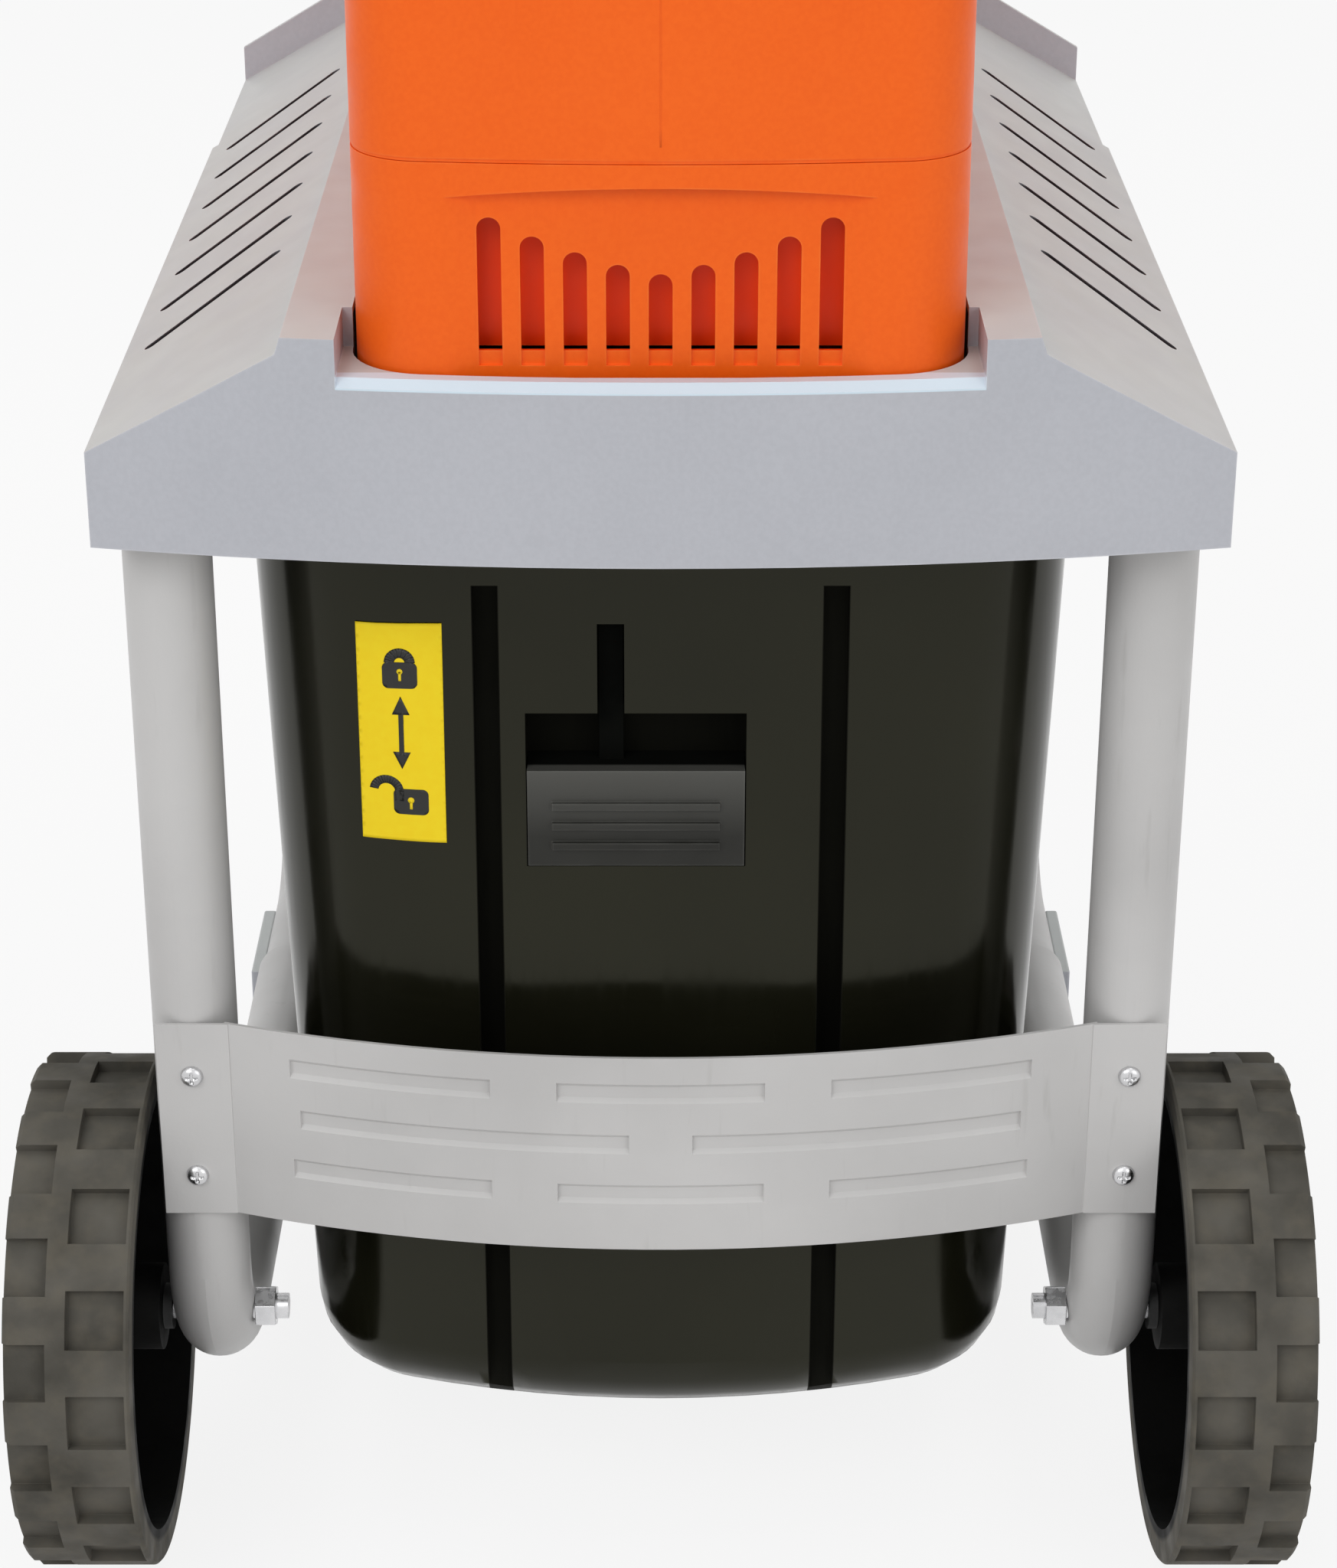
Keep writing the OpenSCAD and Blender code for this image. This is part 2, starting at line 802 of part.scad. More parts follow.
module chassis() {
    chute_near = drum_y - drum_r - drum_gap;
    socket_top = leg_top + socket_wall;
    color([0.25, 0.26, 0.27])
        difference() {
            union() {
                intersection() {
                    linear_extrude(socket_top)
                        deck_plan(deck_wall + seat_gap);
                    union() {
                        translate([-deck_half, -deck_front_y - deck_bow, chassis_z])
                            cube([2 * deck_half, deck_back + deck_front_y + deck_bow, chassis_t]);
                        leg_places() {
                            translate([0, 0, chassis_z])
                                cylinder(r = leg_r + seat_gap + socket_wall, h = socket_top - chassis_z);
                            translate([0, 0, chassis_z])
                                cylinder(r = rear_r + seat_gap + socket_wall, h = socket_top - chassis_z);
                        }
                    }
                }
                latch_keeper();
            }
            leg_places() {
                translate([0, 0, chassis_z - 1])
                    cylinder(r = leg_r + seat_gap, h = leg_top - chassis_z + 1);
                translate([0, 0, chassis_z - 1])
                    cylinder(r = rear_r + seat_gap, h = leg_top - chassis_z + 1);
            }
            translate([-housing_in, chute_near, chassis_z - 1])
                cube([2 * housing_in, bush_y - chute_near, chassis_t + 2]);
            deck_boss_places()
                translate([0, 0, chassis_z - 1])
                    cylinder(d = boss_bore, h = chassis_t + 2);
            body_screw_places()
                translate([0, 0, chassis_z - 1])
                    cylinder(d = screw_d + 2 * seat_gap, h = chassis_t + 2);
            translate([tongue_x, tongue_y, plunger_tip_z - 1])
                cylinder(d = plunger_d + 2 * slide_gap, h = chassis_top - plunger_tip_z + 2);
        }
}

module deck_screws() {
    color("silver")
        deck_boss_places()
            translate([0, 0, chassis_z])
                pan_screw(boss_screw_d, 20);
}

module rail() {
    color([0.25, 0.26, 0.27])
        translate([0, -box_front_y + rail_front + rail_l, 0])
            rotate([90, 0, 0])
                linear_extrude(rail_l)
                    polygon([[rail_lip_x, rail_z], [rail_x + rail_t, rail_z], [rail_x + rail_t, chassis_z],
                             [rail_x, chassis_z], [rail_x, rail_z + rail_t], [rail_lip_x, rail_z + rail_t]]);
}

// Collection box

function box_lean(z) = (box_top - z) / (box_top - box_bottom);

// A thin level slice of the bucket form; its front bows out the more, the lower it lies
module box_slab(z, inset, tuck = 0) {
    r = box_r - inset - tuck;
    half = box_w / 2 - box_draft * box_lean(z) - box_r;
    back_y = box_l - box_front_y - box_end_draft * box_lean(z) - box_r;
    for (i = [-box_bow_steps : box_bow_steps]) {
        share = i / box_bow_steps;
        translate([share * half, box_r - box_front_y - box_bow * box_lean(z) * (1 - share * share), z])
            cylinder(r = r, h = slab_t, $fn = 48);
    }
    for (side = [-1, 1])
        translate([side * half, back_y, z])
            cylinder(r = r, h = slab_t, $fn = 48);
}

// The leaning bucket form, rounded all round its floor
module box_form(inset, over) {
    floor_z = box_bottom + inset;
    round_r = box_floor_r - inset;
    hull() {
        box_slab(box_top + over - slab_t, inset);
        for (a = [0 : 18 : 90])
            box_slab(floor_z + round_r * (1 - cos(a)), inset, round_r * (1 - sin(a)));
    }
}

module box_pocket(grow) {
    w = grip_w + 2 * slide_gap + 2 * grow;
    h = grip_h + latch_travel + 4 + 2 * grow;
    translate([grip_x - w / 2, -box_front_y - box_bow, grip_z - slide_gap - grow])
        cube([w, pocket_depth + box_bow + grow / 2, h]);
}

// The two upright grooves in the box front, or the thickening behind them
module box_grooves(grow) {
    half = box_w / 2 - box_draft - box_r;
    out = box_bow * (1 - groove_x * groove_x / (half * half));
    lean = -atan(out / (box_top - box_bottom));
    low = box_bottom + 2;
    for (side = [-1, 1])
        translate([side * groove_x, -box_front_y, box_top])
            rotate([lean, 0, 0])
                translate([-groove_w / 2 - grow, -box_bow, low - box_top - grow])
                    cube([groove_w + 2 * grow, groove_d + box_bow + grow, box_top - low - 18 + 2 * grow]);
}

module collection_box() {
    pocket_top = grip_z + grip_h + latch_travel + 4;
    slot_top = pocket_top + 34;
    slot_half = tongue_w / 2 + slide_gap;
    channel_back = tongue_y + tongue_t / 2 + slide_gap;
    runner_w = grip_w + 2 * slide_gap + 2 * runner_x;
    color([0.10, 0.10, 0.09])
        difference() {
            union() {
                difference() {
                    box_form(0, 0);
                    difference() {
                        box_form(box_wall, 1);
                        box_pocket(5);
                        box_grooves(box_wall);
                        translate([tongue_x - slot_half - 3, -box_front_y, pocket_top - 2])
                            cube([2 * slot_half + 6, channel_back + 3 + box_front_y, box_top]);
                    }
                }
                both_sides()
                    translate([box_w / 2 - 2, -box_front_y + box_r, flange_z])
                        cube([flange_w + 2, box_l - 2 * box_r, flange_t]);
            }
            box_pocket(0);
            translate([grip_x - runner_w / 2, runner_y - slide_gap, grip_z - slide_gap])
                cube([runner_w, runner_t + 2 * slide_gap, grip_h + latch_travel + 4]);
            translate([tongue_x - slot_half, -box_front_y - box_bow, pocket_top - 2])
                cube([2 * slot_half, channel_back + box_front_y + box_bow, slot_top - pocket_top + 2]);
            translate([tongue_x - slot_half, tongue_y - tongue_t / 2 - slide_gap, slot_top - 1])
                cube([2 * slot_half, tongue_t + 2 * slide_gap, box_top]);
            translate([tongue_x - slot_half - 5, -box_front_y - 2, keeper_z - 0.5])
                cube([2 * slot_half + 10, channel_back + box_front_y + 8, box_top]);
            box_grooves(0);
        }
}

module latch() {
    front_y = -box_front_y - grip_out;
    back_y = -box_front_y + pocket_depth - slide_gap;
    color([0.30, 0.30, 0.29]) {
        difference() {
            union() {
                translate([grip_x - grip_w / 2, front_y, grip_z])
                    cube([grip_w, back_y - front_y, grip_h]);
                translate([grip_x - grip_w / 2 - runner_x + slide_gap, runner_y, grip_z])
                    cube([grip_w + 2 * runner_x - 2 * slide_gap, runner_t, grip_h]);
                for (i = [0 : 2])
                    translate([grip_x - grip_w / 2 + 9, front_y - 1.5, grip_z + 7 + i * 8])
                        cube([grip_w - 18, 3, 3]);
            }
            translate([grip_x - grip_w / 2 + 4, front_y + 4, grip_z - 1])
                cube([grip_w - 8, back_y - front_y - 8, grip_h - 3]);
        }
        translate([tongue_x - tongue_w / 2, tongue_y - tongue_t / 2, grip_z + grip_h - 3])
            cube([tongue_w, tongue_t, tongue_top - grip_z - grip_h + 3]);
    }
}

// Interlock switch over the latch tongue

module interlock_switch() {
    body_h = 24;
    color([0.12, 0.12, 0.13])
        translate([tongue_x, tongue_y, chassis_top])
            difference() {
                translate([-16, -8, 0])
                    cube([32, 16, body_h]);
                translate([0, 0, -1])
                    cylinder(d = plunger_d + 2 * slide_gap, h = 5);
                translate([0, 0, 3])
                    cylinder(d = plunger_d + 4, h = body_h - 6);
            }
}

module interlock_plunger() {
    color([0.8, 0.2, 0.15])
        translate([tongue_x, tongue_y, 0]) {
            translate([0, 0, plunger_tip_z])
                cylinder(d = plunger_d, h = chassis_top + 14 - plunger_tip_z);
            translate([0, 0, chassis_top + 3 + slide_gap])
                cylinder(d = plunger_d + 3, h = 3);
        }
}

// Motor cover and hopper

module vent_slots() {
    vent_foot = 5;
    foot_set = 1.2;
    for (i = [0 : vent_count - 1]) {
        k = abs(i - (vent_count - 1) / 2);
        h = vent_h + 2.7 * k + 0.55 * k * k;
        translate([(i - (vent_count - 1) / 2) * vent_pitch, vent_y, vent_z])
            rotate([90, 0, 0]) {
                linear_extrude(4 * cover_wall, center = true) {
                    translate([-vent_w / 2, 0])
                        square([vent_w, h - vent_w / 2]);
                    translate([0, h - vent_w / 2])
                        circle(d = vent_w);
                }
                translate([-vent_w / 2, -vent_foot, -foot_set])
                    cube([vent_w, vent_foot + 1, cover_wall]);
            }
    }
}

// Flat field round the vents, cut into the bowed front under a gentle arch, with sloping sides
module vent_recess() {
    depth = vent_set + 1;
    half = vent_half + 4 * depth;
    rise = 6;
    arch_r = (half * half + rise * rise) / (2 * rise);
    top_z = vent_z + vent_h + 31;
    low_z = vent_z - 20;
    intersection() {
        translate([0, vent_y, low_z])
            linear_extrude(top_z - low_z)
                polygon([[-half, -depth], [half, -depth], [vent_half, 0], [-vent_half, 0]]);
        translate([0, vent_y + 1, top_z - arch_r])
            rotate([90, 0, 0])
                cylinder(r = arch_r, h = depth + 2, $fn = 360);
    }
}

// Flat wall that carries the vent field, kept inside the bowed front
module vent_wall() {
    half = vent_count * vent_pitch / 2 + 12;
    low_z = vent_z - 21;
    intersection() {
        translate([-half, vent_y - 0.5, low_z])
            cube([2 * half, cover_wall + 0.5, seam_z - 1 - low_z]);
        linear_extrude(seam_z)
            cover_plan(0.4);
    }
}

// Baffle behind the vent slots, open at its lower edge
module vent_baffle() {
    half = vent_count * vent_pitch / 2 + 4;
    depth = 11;
    low_z = vent_z - 1.5;
    h = vent_h + 36;
    translate([-half, vent_y + depth, low_z])
        cube([2 * half, 2, h]);
    for (side = [-1, 1])
        translate([side * half - 1, vent_y + cover_wall - 1, low_z])
            cube([2, depth - cover_wall + 2, h]);
}

// Outline of the cover seen from above, drawn in by an even distance
module cover_plan(inset) {
    r = cover_r - inset;
    big_r = cover_bow_r - inset;
    half = cover_w / 2 - inset;
    back_y = cover_back_y - inset;
    bow_centre_y = cover_bow_r - cover_front_y;
    corner_x = half - r;
    corner_y = bow_centre_y - sqrt(pow(big_r - r, 2) - corner_x * corner_x);
    touch_x = corner_x * big_r / (big_r - r);
    intersection() {
        translate([0, bow_centre_y])
            circle(r = big_r, $fn = 720);
        translate([-touch_x, -cover_front_y - 1])
            square([2 * touch_x, corner_y + cover_front_y + 1 + r]);
    }
    translate([-half, corner_y])
        square([2 * half, back_y - r - corner_y]);
    translate([-corner_x, corner_y])
        square([2 * corner_x, back_y - corner_y]);
    for (side = [-1, 1]) {
        translate([side * corner_x, corner_y])
            circle(r = r);
        translate([side * corner_x, back_y - r])
            circle(r = r);
    }
}

module cover_ring(h, inset = 0) {
    linear_extrude(h)
        difference() {
            cover_plan(inset);
            cover_plan(cover_wall);
        }
}

module motor_cover() {
    color([0.96, 0.43, 0.16])
        difference() {
            union() {
                translate([0, 0, chassis_top])
                    cover_ring(seam_z - chassis_top);
                body_screw_places()
                    translate([0, 0, chassis_top])
                        cylinder(r = 6, h = seam_z - chassis_top);
                vent_wall();
                vent_baffle();
            }
            vent_slots();
            vent_recess();
            body_screw_places()
                translate([0, 0, chassis_top - 1])
                    cylinder(d = screw_d + 2 * seat_gap, h = seam_z);
            translate([0, cover_back_y, drive_z])
                rotate([90, 0, 0])
                    cylinder(d = adjust_d + 2, h = 4 * cover_wall, center = true);
        }
}

module mouth_slab(z, w, l, r) {
    translate([0, cover_y, z])
        linear_extrude(0.05)
            rounded_rect(w, l, r, $fn = 32);
}

// The flared part of the hopper, seen as a solid
module flare_form(inset) {
    hull() {
        translate([0, 0, flare_z])
            linear_extrude(0.05)
                cover_plan(inset, $fn = 32);
        mouth_slab(hopper_top - rim_h, mouth_w - 2 * inset, mouth_l - 2 * inset, cover_r + 10 - inset);
    }
}

// The inner funnel from the mouth down to the cutter housing
module funnel_form(grow) {
    near_y = drum_y - drum_r - drum_gap + 1;
    far_y = plate_y + 2;
    w = 2 * housing_in - 2 + 2 * grow;
    hull() {
        translate([-w / 2, near_y - grow, housing_top + 1 - (grow > 0 ? 0 : 0.5)])
            cube([w, far_y - near_y + 2 * grow, 0.05]);
        mouth_slab(hopper_top - rim_h + (grow > 0 ? 0 : 0.1), mouth_w - 2 * cover_wall + 2 * grow,
                   mouth_l - 2 * cover_wall + 2 * grow, cover_r + 10 - cover_wall + grow);
    }
}

module hopper() {
    base_z = seam_z + seat_gap;
    groove_h = 1.2;
    color([0.96, 0.43, 0.16])
        difference() {
            union() {
                translate([0, 0, base_z])
                    cover_ring(groove_h + 1, 0.5);
                translate([0, 0, base_z + groove_h])
                    cover_ring(flare_z - base_z - groove_h);
                difference() {
                    flare_form(0);
                    flare_form(cover_wall);
                }
                funnel_form(cover_wall);
                translate([0, cover_y, hopper_top - rim_h])
                    linear_extrude(rim_h)
                        rounded_rect(mouth_w, mouth_l, cover_r + 10);
                translate([0, cover_y, hopper_top - 6])
                    linear_extrude(6)
                        rounded_rect(mouth_w + 8, mouth_l + 8, cover_r + 14);
                body_screw_places()
                    translate([0, 0, base_z])
                        cylinder(r = 6, h = 24);
            }
            funnel_form(0);
            translate([0, cover_y, hopper_top - rim_h])
                linear_extrude(rim_h + 1)
                    rounded_rect(mouth_w - 2 * cover_wall, mouth_l - 2 * cover_wall,
                                 cover_r + 10 - cover_wall);
            body_screw_places()
                translate([0, 0, base_z - 1])
                    cylinder(d = screw_d + 2 * seat_gap, h = 21);
        }
}

module body_screws() {
    color("silver")
        body_screw_places()
            translate([0, 0, chassis_z])
                pan_screw(screw_d, seam_z - chassis_z + 18);
}

// Motor

module on_axis(y, x = 0) {
    translate([x, y, drive_z])
        along_x()
            children();
}

module motor_can() {
    color([0.55, 0.56, 0.58])
        on_axis(motor_y, motor_end)
            difference() {
                cylinder(r = motor_r, h = motor_l);
                translate([0, 0, motor_wall])
                    cylinder(r = motor_r - motor_wall, h = motor_l);
                translate([0, 0, -1])
                    cylinder(r = motor_shaft_r + run_fit, h = 5);
            }
}

module motor_stator() {
    color([0.72, 0.45, 0.2])
        on_axis(motor_y, core_x)
            difference() {
                cylinder(r = motor_r - motor_wall - seat_gap, h = core_l);
                translate([0, 0, -1])
                    cylinder(r = core_r + 0.5, h = core_l + 2);
            }
}

module motor_rotor() {
    fan_l = 12;
    color([0.6, 0.6, 0.62]) {
        on_axis(motor_y, motor_end - fan_l - 6)
            cylinder(r = motor_shaft_r, h = plane_a + plane_w - motor_end + fan_l + 6);
        on_axis(motor_y, core_x)
            cylinder(r = core_r, h = core_l);
        on_axis(motor_y, plane_a)
            linear_extrude(plane_w)
                polygon(gear_points(gear_modules[0], pinion_teeth));
        on_axis(motor_y, motor_end - fan_l - 3) {
            cylinder(r = 14, h = fan_l);
            for (i = [0 : 8])
                rotate([0, 0, i * 40])
                    translate([12, -1, 0])
                        cube([motor_r - 18, 2, fan_l]);
        }
    }
}

module motor_cradle() {
    half = motor_r * 0.75;
    color([0.25, 0.26, 0.27])
        difference() {
            translate([motor_end + 15, motor_y - half, chassis_top])
                cube([28, 2 * half, drive_z - motor_r * 0.45 - chassis_top]);
            on_axis(motor_y, motor_end)
                cylinder(r = motor_r + seat_gap, h = motor_l);
        }
}

// Gears: involute teeth with a 25 degree pressure angle and a little backlash

// Polar angle swept by an involute from its base circle out to radius r
function involute_turn(rb, r) = let (t = sqrt(max(0, pow(r / rb, 2) - 1))) t * 180 / PI - atan(t);

function polar(r, a) = [r * cos(a), r * sin(a)];

function gear_points(m, n) =
    let (rp = m * n / 2, rb = rp * cos(pressure_angle), root = rp - 1.25 * m, tip = rp + m,
         start = max(rb, root), steps = 3,
         half = 90 / n - tooth_slack / 2 / rp * 180 / PI + involute_turn(rb, rp),
         radii = [for (k = [0 : steps]) start + (tip - start) * k / steps],
         foot = rb > root ? [root] : [])
    [for (i = [0 : n - 1])
        let (c = i * 360 / n)
        each concat(
            [for (r = foot) polar(r, c - half)],
            [for (r = radii) polar(r, c - half + involute_turn(rb, r))],
            [for (k = [steps : -1 : 0]) polar(radii[k], c + half - involute_turn(rb, radii[k]))],
            [for (r = foot) polar(r, c + half)])];

// A wheel of the train, turned half a tooth so that it takes the pinion's tooth on the centre line
module train_wheel(m) {
    rotate(180 / gear_teeth)
        polygon(gear_points(m, gear_teeth));
}

module first_gear() {
    color([0.85, 0.82, 0.7])
        difference() {
            union() {
                on_axis(first_y, plane_a)
                    linear_extrude(plane_w)
                        train_wheel(gear_modules[0]);
                on_axis(first_y, plane_a)
                    linear_extrude(plane_b + plane_w - plane_a)
                        polygon(gear_points(gear_modules[1], pinion_teeth));
            }
            on_axis(first_y, plane_a - 1)
                cylinder(r = pin_r + run_fit, h = 3 * plane_w);
        }
}

module second_gear() {
    color([0.85, 0.82, 0.7])
        difference() {
            union() {
                on_axis(second_y, plane_b)
                    linear_extrude(plane_w)
                        train_wheel(gear_modules[1]);
                on_axis(second_y, plane_a)
                    linear_extrude(plane_b + plane_w - plane_a)
                        polygon(gear_points(gear_modules[2], pinion_teeth));
            }
            on_axis(second_y, plane_a - 1)
                cylinder(r = pin_r + run_fit, h = 3 * plane_w);
        }
}

module final_gear() {
    color([0.6, 0.6, 0.62])
        difference() {
            on_axis(drum_y, plane_a)
                linear_extrude(plane_w)
                    train_wheel(gear_modules[2]);
            on_axis(drum_y, plane_a - 1)
                cylinder(d = drum_shaft_d + 2 * run_fit, h = 2 * plane_w);
        }
}

module gear_pins() {
    color("silver")
        for (y = [first_y, second_y])
            on_axis(y, case_x + 0.5)
                cylinder(r = pin_r, h = case_end + case_lid - case_x - 1);
}

// Gearbox, egg-shaped round the motor and drum axes

module case_outline(grow) {
    rm = case_r_motor + grow;
    rd = case_r_drum + grow;
    translate([motor_y, 0])
        circle(r = rm, $fn = 96);
    translate([drum_y, 0])
        circle(r = rd, $fn = 96);
    polygon([[motor_y, -rm], [drum_y, -rd], [drum_y, rd], [motor_y, rm]]);
}

module pin_bosses(x_from, x_to) {
    for (y = [first_y, second_y])
        on_axis(y, x_from)
            cylinder(r = pin_r + 2.5, h = x_to - x_from);
}

module pin_holes() {
    for (y = [first_y, second_y])
        on_axis(y, case_x - 1)
            cylinder(r = pin_r + seat_gap, h = case_end + case_lid - case_x + 2);
}

module gearbox_case() {
    color([0.62, 0.64, 0.66])
        difference() {
            union() {
                difference() {
                    union() {
                        on_axis(0, case_x)
                            linear_extrude(case_end - case_x)
                                case_outline(4);
                        for (y = [drum_y, motor_y])
                            translate([case_x, y - 14, chassis_top])
                                cube([case_end - case_x, 28, drive_z - chassis_top]);
                    }
                    on_axis(0, case_x + case_wall)
                        linear_extrude(case_end)
                            case_outline(0);
                }
                pin_bosses(case_x + case_wall - 1, plane_a - 0.3);
            }
            pin_holes();
            on_axis(motor_y, case_x - 1)
                cylinder(r = motor_shaft_r + run_fit, h = case_wall + 2);
            on_axis(drum_y, case_x - 1)
                cylinder(d = drum_shaft_d + 2 * run_fit, h = case_wall + 2);
        }
}

module gearbox_cover() {
    color([0.62, 0.64, 0.66])
        difference() {
            union() {
                on_axis(0, case_end)
                    linear_extrude(case_lid)
                        case_outline(4);
                pin_bosses(plane_b + plane_w + 0.3, case_end + 1);
            }
            pin_holes();
            on_axis(drum_y, case_end - 1)
                cylinder(d = drum_shaft_d + 2 * run_fit, h = case_lid + 2);
        }
}

// Cutter

function drum_points() =
    let (pitch = 360 / drum_teeth, root = drum_r - 10)
    [for (i = [0 : drum_teeth - 1])
        let (c = i * pitch)
        each [polar(root, c), polar(drum_r - 4, c - 1), polar(drum_r, c), polar(drum_r, c + 0.14 * pitch),
              polar(drum_r - 5, c + 0.4 * pitch), polar(root, c + 0.78 * pitch)]];

module cutter_drum() {
    color([0.5, 0.5, 0.52])
        on_axis(drum_y, -drum_l / 2)
            difference() {
                linear_extrude(drum_l)
                    polygon(drum_points());
                translate([0, 0, -1])
                    cylinder(d = drum_shaft_d + 2 * run_fit, h = drum_l + 2);
            }
}

module drum_shaft() {
    color("silver")
        on_axis(drum_y, -housing_out - 2)
            cylinder(d = drum_shaft_d, h = housing_out + 2 + case_end + case_lid - 0.5);
}

module drum_bearings() {
    color([0.7, 0.7, 0.72])
        both_sides()
            on_axis(drum_y, housing_in)
                difference() {
                    cylinder(r = bearing_r, h = housing_wall);
                    translate([0, 0, -1])
                        cylinder(d = drum_shaft_d + 2 * run_fit, h = housing_wall + 2);
                }
}

module cutter_housing() {
    near_y = drum_y - drum_r - drum_gap;
    plate_low = drive_z - plate_h / 2 - slide_gap;
    plate_high = drive_z + plate_h / 2 + slide_gap;
    color([0.62, 0.64, 0.66])
        difference() {
            union() {
                difference() {
                    translate([-housing_out, near_y - housing_wall, chassis_top])
                        cube([2 * housing_out, bush_y - near_y + 2 * housing_wall,
                              housing_top - chassis_top]);
                    translate([-housing_in, near_y, chassis_top - 1])
                        cube([2 * housing_in, bush_y - near_y, housing_top]);
                }
                for (z = [plate_low - 4, plate_high])
                    both_sides()
                        translate([housing_in - 6, plate_y, z])
                            cube([7, bush_y - plate_y + 1, 4]);
                translate([0, bush_y + 1, drive_z])
                    rotate([-90, 0, 0])
                        cylinder(r = adjust_d / 2 + 6, h = housing_wall + 5);
            }
            on_axis(drum_y, -housing_out - 1)
                cylinder(r = bearing_r + seat_gap, h = 2 * housing_out + 2);
            translate([0, bush_y - 1, drive_z])
                rotate([-90, 0, 0])
                    cylinder(d = adjust_d + 2 * run_fit, h = housing_wall + 8);
        }
}

module pressure_plate() {
    half = housing_in - slide_gap;
    color([0.75, 0.76, 0.78])
        difference() {
            union() {
                translate([-half, plate_y - 14, drive_z - plate_h / 2])
                    cube([2 * half, 14 + plate_t, plate_h]);
                translate([0, plate_y + plate_t - 1, drive_z])
                    rotate([-90, 0, 0])
                        cylinder(r = adjust_d / 2 + 5, h = plate_boss + 1);
            }
            on_axis(drum_y, -housing_out)
                cylinder(r = drum_r + plate_gap, h = 2 * housing_out, $fn = 120);
            translate([0, plate_y + 2, drive_z])
                rotate([-90, 0, 0])
                    cylinder(d = adjust_d + 2 * run_fit, h = plate_t + plate_boss);
        }
}

module on_adjust_axis(y) {
    translate([0, y, drive_z])
        rotate([-90, 0, 0])
            children();
}

module adjusting_screw() {
    color("silver") {
        on_adjust_axis(screw_tip)
            cylinder(d = adjust_d, h = cover_back_y + 18 - screw_tip);
        on_adjust_axis(bush_y + housing_wall + 6 + slide_gap)
            cylinder(r = adjust_d / 2 + 4, h = 4);
    }
}

module adjusting_knob() {
    grip_r = 23;
    grip_l = 22;
    color([0.15, 0.15, 0.15])
        on_adjust_axis(cover_back_y + 2)
            difference() {
                cylinder(r = grip_r, h = grip_l);
                for (i = [0 : 9])
                    rotate([0, 0, i * 36])
                        translate([grip_r + 3, 0, -1])
                            cylinder(r = 5, h = grip_l + 2);
                translate([0, 0, -1])
                    cylinder(d = adjust_d + 2 * run_fit, h = grip_l - 4);
            }
}

// Electrics

module capacitor() {
    r = 18;
    color([0.8, 0.8, 0.78])
        translate([-40, bush_y + 60, chassis_top + r])
            rotate([0, 90, 0])
                cylinder(r = r, h = 80);
}

module panel_at(x, z, y) {
    translate([panel_x + x, y, panel_z + z])
        rotate([-90, 0, 0])
            children();
}

module switch_box() {
    color([0.14, 0.14, 0.15])
        difference() {
            panel_at(0, 0, cover_back_y)
                linear_extrude(panel_t)
                    rounded_rect(panel_w, panel_h, 8);
            for (x = [-button_x, button_x])
                panel_at(x, button_z, panel_front - well_depth)
                    cylinder(r = button_r + slide_gap, h = panel_t);
            panel_at(reset_x, reset_z, panel_front - well_depth)
                cylinder(r = reset_r + slide_gap, h = panel_t);
            panel_at(knob_x, knob_z, panel_front - well_depth + 2)
                cylinder(r = spindle_r + run_fit, h = panel_t);
        }
}

module push_button(x, z, r) {
    panel_at(x, z, panel_front - well_depth + button_travel + 1)
        cylinder(r = r, h = 16);
}

module on_button() {
    color([0.15, 0.6, 0.25])
        push_button(-button_x, button_z, button_r);
}

module off_button() {
    color([0.8, 0.12, 0.1])
        push_button(button_x, button_z, button_r);
}

module reset_button() {
    color([0.85, 0.85, 0.83])
        push_button(reset_x, reset_z, reset_r);
}

module direction_knob() {
    color([0.3, 0.3, 0.31]) {
        panel_at(knob_x, knob_z, panel_front + end_play)
            cylinder(r = knob_r, h = 6);
        panel_at(knob_x, knob_z, panel_front + 5)
            translate([-3, -knob_r, 0])
                cube([6, 2 * knob_r, 9]);
        panel_at(knob_x, knob_z, panel_front - well_depth + 3)
            cylinder(r = spindle_r, h = well_depth);
    }
}

module mains_inlet() {
    r = 20;
    color([0.14, 0.14, 0.15])
        translate([50, cover_back_y, panel_z - 12])
            rotate([-90, 0, 0]) {
                difference() {
                    cylinder(r = r, h = 26);
                    translate([0, 0, 4])
                        cylinder(r = r - 3.5, h = 30);
                }
                for (a = [90, 210, 330])
                    rotate([0, 0, a])
                        translate([8, -2.5, 3])
                            cube([2, 5, 18]);
            }
}

// Each node by its name
mirrored() leg_tube();  // left_leg_tube
leg_tube();  // right_leg_tube
mirrored() rear_tube();  // left_rear_tube
rear_tube();  // right_rear_tube
mirrored() foot();  // left_foot
foot();  // right_foot
front_brace();
brace_screws();
mirrored() axle();  // left_axle
axle();  // right_axle
axle_nuts();
hub_spacers();
mirrored() wheel();  // left_wheel
wheel();  // right_wheel
mirrored() hub_cap();  // left_hub_cap
hub_cap();  // right_hub_cap
deck();
chassis();
deck_screws();
mirrored() rail();  // left_rail
rail();  // right_rail
collection_box();
latch();
interlock_switch();
interlock_plunger();
motor_cover();
hopper();
body_screws();
motor_can();
motor_stator();
motor_rotor();
motor_cradle();
gearbox_case();
gearbox_cover();
gear_pins();
first_gear();
second_gear();
final_gear();
cutter_housing();
cutter_drum();
drum_shaft();
drum_bearings();
pressure_plate();
adjusting_screw();
adjusting_knob();
capacitor();
switch_box();
on_button();
off_button();
reset_button();
direction_knob();
mains_inlet();
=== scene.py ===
"""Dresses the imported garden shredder: finishes, softened edges, small trim, floor, lights and camera."""
import json
import math

